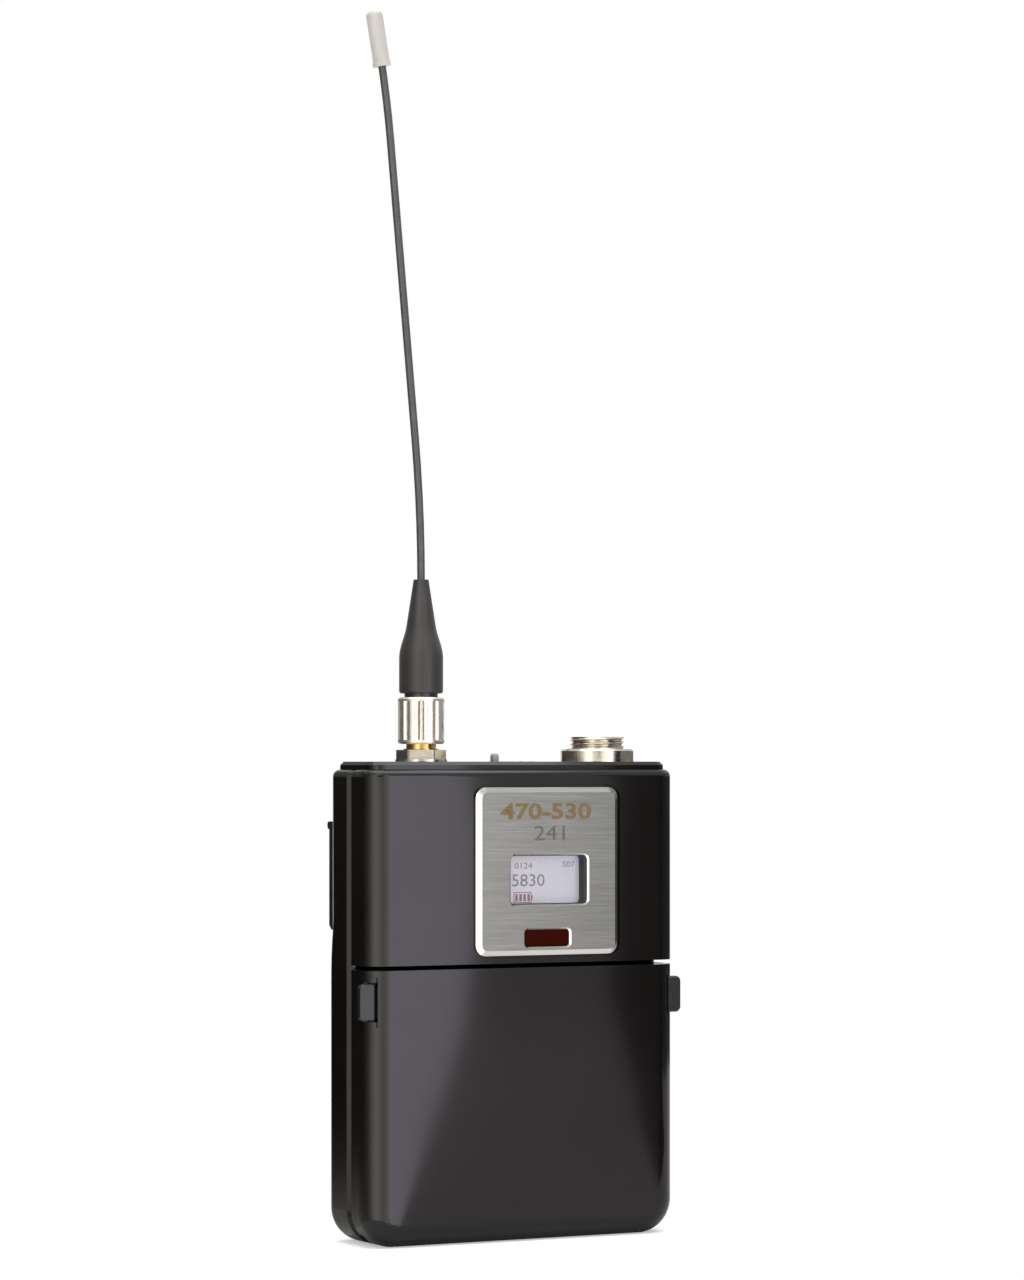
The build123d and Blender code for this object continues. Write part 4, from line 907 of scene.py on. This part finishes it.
@dataclass
class Antenna:
    """Threaded gold socket in the top plate, fluted coupling nut, rubber boot, wire and white cap."""

    x: float = -16.6
    thread_radius: float = 3.175
    bore_radius: float = 2.3
    neck_radius: float = 2.7
    low: float = 78.0
    neck_low: float = 88.3
    neck_high: float = 89.45
    top: float = 94.4
    pitch: float = 0.706
    depth: float = 0.3

    def socket(self) -> Surface:
        """Turns the socket: thread below, a plain neck and thread above."""
        cut_low = screw_thread(self.pitch, self.depth, self.low + 0.2, self.neck_low - 0.1)
        cut_high = screw_thread(self.pitch, self.depth, self.neck_high + 0.1, self.top - 0.2)
        profile = [(self.bore_radius, self.low)]
        profile += wall(self.thread_radius, self.low, self.neck_low, 0.09)
        profile += [(self.neck_radius, self.neck_low), (self.neck_radius, self.neck_high)]
        profile += wall(self.thread_radius, self.neck_high, self.top - 0.2, 0.09)
        profile += [(self.thread_radius - 0.2, self.top), (self.bore_radius, self.top),
                    (self.bore_radius, self.low)]
        shape = turned(profile, 64, lambda angle, height, radius: np.where(
            height < self.neck_low, cut_low(angle, height, radius), cut_high(angle, height, radius)))
        return place(shape, (self.x, 0, 0))

    def build(self) -> None:
        """Makes the threaded socket and dresses the antenna."""
        make_piece("antenna_socket_thread", self.socket(), Body.CASE, Finishes.GOLD,
                   ["antenna_socket"])
        paint(Finishes.NICKEL, "socket_washer", "socket_hex_nut")
        paint(Finishes.SATIN, "antenna_nut")
        paint(Finishes.CLIP_STEEL, "antenna_ferrule")
        paint(Finishes.GOLD, "socket_contact", "antenna_pin")
        paint(Finishes.PTFE, "socket_insulator")
        paint(Finishes.RUBBER, "antenna_boot")
        paint(Finishes.SLEEVED, "antenna_whip")
        paint(Finishes.CAP, "antenna_tip")


@dataclass
class MicrophoneInput:
    """Threaded collar with a ring round it, a four-pin insert inside and a nut below."""

    x: float = 19.3
    stem_radius: float = 4.7
    thread_radius: float = 5.0
    bore_radius: float = 4.1
    low: float = 75.0
    thread_low: float = 88.35
    top: float = 90.5
    pitch: float = 0.8
    depth: float = 0.42

    def jack(self) -> Surface:
        """Turns the collar with its thread and a rounded mouth."""
        cut = screw_thread(self.pitch, self.depth, self.thread_low, self.top - 0.05)
        profile = [(self.bore_radius, self.low), (self.stem_radius, self.low),
                   (self.stem_radius, self.thread_low)]
        profile += wall(self.thread_radius, self.thread_low, self.top - 0.18, 0.05)
        profile += [(self.thread_radius - 0.16, self.top), (self.bore_radius + 0.2, self.top),
                    (self.bore_radius, self.top - 0.2), (self.bore_radius, self.low)]
        return place(turned(profile, 96, cut), (self.x, 0, 0))

    def build(self) -> None:
        """Makes the threaded collar and dresses the input."""
        make_piece("input_thread_collar", self.jack(), Body.CASE, Finishes.NICKEL, ["input_jack"])
        paint(Finishes.NICKEL, "input_ring", "input_nut")
        paint(Finishes.MOULDED, "input_insulator")
        paint(Finishes.GOLD, "input_pins")


@dataclass
class PowerSwitch:
    """Sliding knob with a domed, ridged top, marks beside its slot, and the lamp in a thin ring."""

    knob_round: float = 0.35
    ridge: float = 0.08
    ridges: int = 3
    mark_y: float = -3.1
    travel: float = 2.0
    lamp: tuple[float, float] = (4.6, 1.0)

    def knob(self) -> Surface:
        """Gives the knob: rings of a rounded rectangle that draw in over the top, with three ridges."""
        low, middle, (wide, deep, tall) = measure("power_switch_knob")
        outline = rounded_outline(wide, deep, self.knob_round, 8)
        rings = []
        for share, drop in zip((0.0, 0.3, 0.55, 0.75, 0.9, 0.97, 1.0, 1.0, 1.0, 0.0),
                               (0.0, 0.0, 0.03, 0.1, 0.25, 0.42, 0.62, 1.2, tall, tall)):
            flat = share * outline
            wave = self.ridge * (0.5 - 0.5 * np.cos(2 * np.pi * self.ridges * flat[:, 1] / deep))
            rings.append((flat, -drop - wave * (drop < 0.5)))
        return place(lofted(rings), (middle[0], middle[1], low[2] + tall))

    def marks(self) -> Surface:
        """Gives a ring and a bar, printed beside the knob's two places, and a dot half way."""
        x0 = measure("power_switch_knob")[1][0]
        bar = pad(rounded_outline(0.22, 1.3, 0.1, 4), 0.04)
        ring = turned([(0.45, -0.01), (0.62, -0.01), (0.6, 0.04), (0.47, 0.04), (0.45, -0.01)], 28)
        dot = pad(circle(0.16, 24), 0.04)
        return join(*[place(mark, (x0 + share * self.travel, self.mark_y, PACK_TOP))
                      for mark, share in ((bar, 1.0), (ring, 0.0), (dot, 0.5))])

    def build(self) -> None:
        """Makes the knob, the marks and the lamp ring, and dresses the rest."""
        make_piece("power_knob_cap", self.knob(), Body.KNOB, Finishes.GREY,
                   ["power_switch_knob"])
        make_piece("power_switch_marks", self.marks(), Body.CASE, Finishes.MARKING)
        x, radius = self.lamp
        ring = turned([(radius + 0.06, -0.02), (radius + 0.36, -0.02), (radius + 0.34, 0.04),
                       (radius + 0.22, 0.07), (radius + 0.1, 0.05), (radius + 0.06, -0.02)], 40)
        make_piece("lamp_ring", place(ring, (x, 0, PACK_TOP)), Body.CASE, Finishes.NICKEL)
        paint(Finishes.LENS, "power_lamp")
        paint(Finishes.MOULDED, "power_switch_body")


@dataclass
class DoorAndLatches:
    """Battery door, its two side latches and the coil springs that push them out."""

    spring_radius: float = 0.8
    wire_radius: float = 0.14
    turns: float = 6.0
    travel: float = 1.2
    slit_y: float = -8.06
    slit_x: float = 29.0
    slit_start: float = 3.5
    slit_end: float = 4.38

    def spring(self, node: str) -> tuple[Surface, float]:
        """Gives a coil spring in place of a node.

        Args:
            node: Packed spring node.

        Returns:
            The spring, and the depth along X of its fixed end.
        """
        low, middle, size = measure(node)
        near, far = sorted((abs(low[0]), abs(low[0] + size[0])))
        side = 1 if low[0] > 0 else -1
        line = coil(self.spring_radius, side * (near + self.wire_radius), side * (far - self.wire_radius),
                    self.turns)
        return place(tube(line, self.wire_radius, 8), (0, middle[1], middle[2])), side * near

    def slit_painted_shade(self) -> Surface:
        """Gives dull dark strips at the back of each slit, above and below the tab: painted shade where the
        back of the slit lies only in shade.
        """
        middle = measure("latch_left")[1][2]
        strip = pad(rounded_outline(1.3, self.slit_end - self.slit_start, 0.1, 3), 0.03)
        rise = (self.slit_start + self.slit_end) / 2
        return join(*[place(strip, (side * self.slit_x, self.slit_y, middle + way * rise), "front")
                      for side in (-1, 1) for way in (-1, 1)])

    def build(self) -> None:
        """Makes the springs and dresses the door."""
        for side in ("left", "right"):
            node = f"latch_spring_{side}"
            shape, fixed = self.spring(node)
            piece = make_piece(f"latch_coil_{side}", shape, Body.DOOR, Finishes.WIRE,
                               [node])
            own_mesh(piece)
        # dull dark strips at the back of the latch slits: painted shade in the recess
        make_piece("latch_slit_painted_shade", self.slit_painted_shade(), Body.DOOR, Finishes.MOULDED)
        paint(Finishes.LACQUER, "battery_door")
        paint(Finishes.LEVER, "latch_left", "latch_right")
        paint(Finishes.NICKEL, "door_hinge_pin")


@dataclass
class BatteryBay:
    """Cradle with two cells, their springs and contacts, and the four menu buttons above."""

    cell_y: float = 1.15
    cell_heights: tuple[float, float] = (10.4, 25.3)
    spring_from: float = 25.74
    spring_to: float = 25.38
    spring_radii: tuple[float, float] = (3.4, 1.9)
    spring_turns: float = 3.0
    wire_radius: float = 0.13
    symbol_depth: float = 0.12

    def springs(self) -> Surface:
        """Gives the two flat cone springs, one behind the flat end of each cell."""
        made = []
        for side, height in ((-1, self.cell_heights[0]), (1, self.cell_heights[1])):
            wide, narrow = self.spring_radii
            line = coil(wide, side * self.spring_from, side * self.spring_to, self.spring_turns, narrow)
            made.append(place(tube(line, self.wire_radius, 8), (0, self.cell_y, height)))
        return join(*made)

    def symbols(self) -> list[np.ndarray]:
        """Gives the outlines on the buttons: up, down, square and round."""
        up = np.array([(-0.95, -0.6), (0.95, -0.6), (0.0, 0.85)])
        return [up, -up, rounded_outline(1.35, 1.35, 0.2), circle(0.75, 28)]

    def build(self) -> None:
        """Makes the springs and the button symbols, and dresses the bay."""
        make_piece("battery_cone_springs", self.springs(), Body.CASE, Finishes.WIRE,
                   ["battery_springs"])
        for number, outline in enumerate(self.symbols(), 1):
            low, middle, _ = measure(f"menu_button_{number}")
            shape = place(pad(outline, self.symbol_depth), (middle[0], low[1], middle[2]), "front")
            make_piece(f"button_symbol_{number}", shape, f"button_{number}",
                       Finishes.MARKING)
        paint(Finishes.GREY, *[f"menu_button_{number}" for number in range(1, 5)])
        paint(Finishes.CELL, "battery_cell_lower", "battery_cell_upper")
        paint(Finishes.MOULDED, "battery_cradle", "button_panel")
        paint(Finishes.NICKEL, "battery_contacts")


@dataclass
class Clip:
    """Sprung belt clip with grip ridges, its pin and the two coil springs round it."""

    ridge_count: int = 6
    ridge_pitch: float = 1.9
    ridge_low: float = 64.0
    ridge_size: tuple[float, float, float] = (30.0, 1.1, 0.4)
    outer_face: float = 13.2
    pivot: tuple[float, float] = (10.45, 57.0)
    coil_radius: float = 1.0
    wire_radius: float = 0.16
    coil_from: float = 8.1
    coil_to: float = 14.1
    coil_turns: float = 6.5
    leg: float = 3.0

    def ridges(self) -> Surface:
        """Gives the row of rounded ridges on the outer face."""
        width, height, depth = self.ridge_size
        outline = rounded_outline(width, height, height / 2 - 0.02, 8)
        ridge = pad(outline, depth, 0.6)
        return join(*[place(ridge, (0, self.outer_face, self.ridge_low + i * self.ridge_pitch), "back")
                      for i in range(self.ridge_count)])

    def springs(self) -> Surface:
        """Gives a coil on each side of the pin with two short straight legs."""
        made = []
        for side in (-1, 1):
            line = coil(self.coil_radius, side * self.coil_from, side * self.coil_to, self.coil_turns)
            line = np.concatenate([[line[0] - (0, 0, self.leg)], line, [line[-1] + (0, 0, self.leg)]])
            made.append(place(tube(line, self.wire_radius, 8), (0, *self.pivot)))
        return join(*made)

    def build(self) -> None:
        """Makes the ridges and the springs, and dresses the clip."""
        make_piece("clip_grip_ridges", self.ridges(), Body.CLIP, Finishes.CLIP_STEEL)
        make_piece("clip_torsion_springs", self.springs(), Body.CASE, Finishes.WIRE,
                   ["clip_spring"])
        paint(Finishes.CLIP_STEEL, "belt_clip")
        paint(Finishes.NICKEL, "clip_pin")


@dataclass
class Boards:
    """Circuit boards with their shields, spacers, switches and packages, behind the front."""

    def build(self) -> None:
        """Dresses the electronics."""
        paint(Finishes.BOARD, "main_board", "display_board", "button_board")
        paint(Finishes.NICKEL, "rf_shield", "board_spacers")
        paint(Finishes.MOULDED, "board_components", "tact_switches")


# ---------------- studio
def hide_card(name: str, mesh: bpy.types.Mesh, tint: str, strength: float | str) -> None:
    """Adds a glowing card that only glossy and transmitted rays meet.

    Args:
        name: Name of the card.
        mesh: Its mesh.
        tint: Colour of the light.
        strength: Strength of the light, or the name of the mesh attribute that holds it.
    """
    material = bpy.data.materials.new(name)
    nodes = bare_nodes(material)
    if isinstance(strength, str):
        strength = nodes.add("Attribute", attribute_name=strength).outputs["Fac"]
    light = nodes.add("Emission", {"Color": tint, "Strength": strength})
    nodes.add("OutputMaterial", {"Surface": light.outputs[0]})
    mesh.materials.append(material)
    card = new_object(name, mesh)
    card.visible_camera = card.visible_shadow = card.visible_diffuse = False


@dataclass(frozen=True)
class Card:
    """A flat studio card that only shows in reflections: bright, or dark to keep an edge dark."""

    name: str
    corners: tuple[tuple[float, float, float], ...]
    strength: float
    tint: str = "#ffffff"

    def build(self) -> None:
        """Makes the card."""
        mesh = bpy.data.meshes.new(self.name)
        mesh.from_pydata(np.array(self.corners) * MM, [], [list(range(len(self.corners)))])
        hide_card(self.name, mesh, self.tint, self.strength)


def upright(name: str, start: tuple[float, float], end: tuple[float, float], low: float, high: float,
            strength: float) -> Card:
    """Makes an upright rectangular card over the line between two table points."""
    return Card(name, ((*start, low), (*end, low), (*end, high), (*start, high)), strength)


@dataclass(frozen=True)
class Curtain:
    """A curved bright card whose strength changes smoothly along it, with a skirt on the table.

    Its columns stand at azimuths measured from -Y towards +X round a centre. Each has the level of
    its wall and the level of the table near the object; at radius r the skirt has
    wall + (near - wall) min(1, exp((full - r) / fall)). Above the object the wall is at least as
    bright as the haze. The shader reads the level that the mesh interpolates.
    """

    centre: tuple[float, float] = (-29.0, -8.0)
    radii: tuple[float, ...] = (13, 40, 56, 75, 100, 130, 170, 230, 310, 400)
    full: float = 56.0
    fall: float = 60.0
    heights: tuple[float, ...] = (0.3, 88, 100, 400)
    haze: float = 0.3
    tint: str = "#fffdf6"
    levels: tuple[tuple[float, float, float], ...] = (
        (-182, 0, 0.5), (-150, 0, 0.5), (-115, 0, 0.5), (-101, 0.15, 0.45), (-92, 0.35, 0.5),
        (-82, 0.7, 0.8), (-73, 1.2, 1.2), (-63, 2.0, 2.0), (-50, 2.9, 2.9), (-34, 2.9, 2.9),
        (-24, 2.4, 2.4), (-12, 1.85, 1.85), (0, 1.9, 1.9), (10, 2.4, 2.4), (17.5, 2.9, 2.9))

    def build(self) -> None:
        """Makes the curtain: rows of points along the skirt, from its near edge out, then up the wall."""
        turn, wall_level, near_level = np.array(self.levels).T
        way = np.stack([np.sin(np.radians(turn)), -np.cos(np.radians(turn))], axis=-1)
        floor, *heights = self.heights
        rows = [(radius, floor) for radius in self.radii] + [(self.radii[-1], rise) for rise in heights]
        points = [np.column_stack([np.array(self.centre) + radius * way, np.full(len(turn), rise)])
                  for radius, rise in rows]
        share = [min(1.0, math.exp((self.full - radius) / self.fall)) for radius, _ in rows]
        level = [wall_level + (near_level - wall_level) * part for part in share]
        level = np.concatenate(level[:-2] + [np.maximum(row, self.haze) for row in level[-2:]])
        mesh = bpy.data.meshes.new("curtain")
        mesh.from_pydata(np.concatenate(points) * MM, [], quads(len(rows), len(turn), False).tolist())
        mesh.attributes.new("level", "FLOAT", "POINT").data.foreach_set("value", level)
        hide_card("curtain", mesh, self.tint, "level")


@dataclass(frozen=True)
class Lamp:
    """A square soft lamp that looks at the object; sizes in metres, power in watts."""

    name: str
    at: tuple[float, float, float]
    size: float
    watts: float
    target: tuple[float, float, float] = (0, 0, 0.06)

    def build(self) -> None:
        """Hangs the lamp."""
        data = bpy.data.lights.new(self.name, "AREA")
        data.shape, data.size, data.energy = "SQUARE", self.size, self.watts
        lamp = new_object(self.name, data)
        lamp.location = self.at
        lamp.rotation_euler = (Vector(self.target) - Vector(self.at)).to_track_quat("-Z", "Y").to_euler()
        lamp.visible_camera = False


@dataclass
class Studio:
    """Pale floor, white surround, soft lamps, reflection cards and the camera; floor sizes in metres."""

    floor_half: float = 4.0
    floor_grey: float = 0.93
    footprint: tuple[float, float, float] = (0.0313, 0.009, 0.0)
    contact: tuple[float, float] = (0.001, 0.016)
    table_edge: tuple[float, float] = (0.001, 0.0035)
    table_tint: str = "#fff8fb"
    table_lift: float = 0.4
    dip_from: tuple[float, float] = (0.35, 0.95)
    dip_to: tuple[float, float] = (1.2, 2.2)
    dip_level: float = 0.74
    clear: tuple[float, float] = (0.07, 0.3)
    surround: float = 0.45
    camera_at: tuple[float, float, float] = (-0.3492, -0.6742, 0.086)
    camera_turn_deg: float = -27.5
    camera_range: tuple[float, float] = (0.05, 20.0)
    lens: float = 117.96
    sensor: float = 36.0
    shift_y: float = 0.095
    lamps: tuple[Lamp, ...] = (Lamp("overhead", (0.0, -0.1, 0.9), 0.9, 7.0),
                               Lamp("front_left", (-0.5, -0.6, 0.45), 0.35, 1.6))
    cards: tuple[Card, ...] = (
        Card("bright_wall", ((52, -259, 0), (106, -259, 0), (107.2, -259, 2.1), (113.7, -259, 20.5),
                             (115.6, -259, 35), (117.6, -259, 43), (117.6, -259, 71), (115.4, -259, 80),
                             (115.4, -259, 170), (52, -259, 170)), 4.0, "#f6f1ff"),
        Card("dark_wall", ((162.3, -258, 0), (330, -258, 0), (330, -258, 170), (155, -258, 170),
                           (155, -258, 36), (153.8, -258, 30.1), (157, -258, 19)), 0.0),
        Card("bright_table", ((-23, -25, 0.4), (-18, -25, 0.4), (24.4, -105, 0.4), (106, -259, 0.4),
                              (52, -259, 0.4), (2.2, -105, 0.4)), 4.0, "#f6f1ff"),
        Card("dark_table", ((67, -79, 0.4), (162, -259, 0.4), (330, -259, 0.4), (200, -79, 0.4)), 0.0),
        upright("right_flag", (330, -258), (480, 60), 0, 92, 0.1),
        upright("right_back_flag", (480, 60), (330, 300), 0, 92, 0.1),
        upright("right_screen", (330, -258), (480, 60), 92, 260, 0.6),
        upright("right_back_screen", (480, 60), (330, 300), 92, 260, 0.6),
        upright("camera_shadow", (-235, -270), (-75, -335), 84.5, 230, 0.15),
    )

    def floor(self) -> None:
        """Lays the floor: matt and shadowed near the object, plain white further out.

        Past its table edge it is looked through, so the open door shows where it swings below the
        table; the surround there is the same white. In reflections it is a little darker at arm's
        length than near by and far off.
        """
        half = self.floor_half
        mesh = bpy.data.meshes.new("floor")
        mesh.from_pydata([(-half, -half, 0), (half, -half, 0), (half, half, 0), (-half, half, 0)], [],
                         [(0, 1, 2, 3)])
        material = bpy.data.materials.new("white_table")
        nodes = bare_nodes(material)
        reach = nodes.add("NewGeometry").outputs["Position"]
        for operation, *other in (("ABSOLUTE",), ("SUBTRACT", self.footprint), ("MAXIMUM", (0, 0, 0))):
            reach = nodes.add("VectorMath", dict(enumerate([reach, *other])), operation=operation).outputs[0]
        reach = nodes.add("VectorMath", {0: reach}, operation="LENGTH").outputs["Value"]
        eye, shadow, mirror = nodes.rays()
        mirror = nodes.math("MULTIPLY", mirror, nodes.span(reach, *self.contact, smooth=True))
        amount = nodes.math("MAXIMUM", nodes.span(reach, *self.clear, smooth=True), mirror)
        matt = nodes.add("BsdfDiffuse", {"Color": (*[self.floor_grey] * 3, 1)})
        lift = nodes.math("MULTIPLY", eye, self.table_lift)
        lift = nodes.add("Emission", {"Color": "#ffffff", "Strength": lift})
        matt = nodes.add("AddShader", {0: matt.outputs[0], 1: lift.outputs[0]})
        down = nodes.span(reach, *self.dip_from, (1.0, self.dip_level), smooth=True)
        up = nodes.span(reach, *self.dip_to, (0.0, 1.0 - self.dip_level), smooth=True)
        white = nodes.add("Emission", {"Color": self.table_tint, "Strength": nodes.math("ADD", down, up)})
        mix = nodes.add("MixShader", {0: amount, 1: matt.outputs[0], 2: white.outputs[0]})
        seen = nodes.math("MULTIPLY", nodes.span(reach, *self.table_edge, smooth=True), eye)
        gone = nodes.math("MAXIMUM", seen, shadow)
        mix = nodes.add("MixShader", {0: gone, 1: mix.outputs[0],
                                      2: nodes.add("BsdfTransparent").outputs[0]})
        nodes.add("OutputMaterial", {"Surface": mix.outputs[0]})
        mesh.materials.append(material)
        new_object("floor", mesh)

    def world(self) -> None:
        """Sets the surround: white to look at and in reflections, softer as light."""
        world = bpy.data.worlds.new("surround")
        bpy.context.scene.world = world
        nodes = bare_nodes(world)
        eye, _, mirror = nodes.rays()
        level = nodes.span(nodes.math("MAXIMUM", eye, mirror), 0.0, 1.0, (self.surround, 1.0))
        back = nodes.add("Background", {"Color": "#ffffff", "Strength": level})
        nodes.add("OutputWorld", {"Surface": back.outputs[0]})

    def camera(self) -> None:
        """Sets up the level camera to the front left."""
        data = bpy.data.cameras.new("camera")
        data.lens, data.sensor_width, data.shift_y = self.lens, self.sensor, self.shift_y
        data.clip_start, data.clip_end = self.camera_range
        camera = new_object("camera", data)
        camera.location = self.camera_at
        camera.rotation_euler = (math.pi / 2, 0, math.radians(self.camera_turn_deg))
        bpy.context.scene.camera = camera

    def build(self) -> None:
        """Builds the whole studio."""
        self.world()
        self.floor()
        for thing in (*self.cards, Curtain(), *self.lamps):
            thing.build()
        self.camera()
        bpy.context.scene.view_settings.view_transform = "Standard"


def main() -> None:
    """Builds every sub-assembly and the studio."""
    logging.basicConfig(level=logging.INFO, format="%(message)s")
    for assembly in (Case(), Display(), Antenna(), MicrophoneInput(), PowerSwitch(), DoorAndLatches(),
                     BatteryBay(), Clip(), Boards()):
        log.info("building %s", type(assembly).__name__)
        assembly.build()
    Studio().build()


if __name__ == "__main__":
    main()
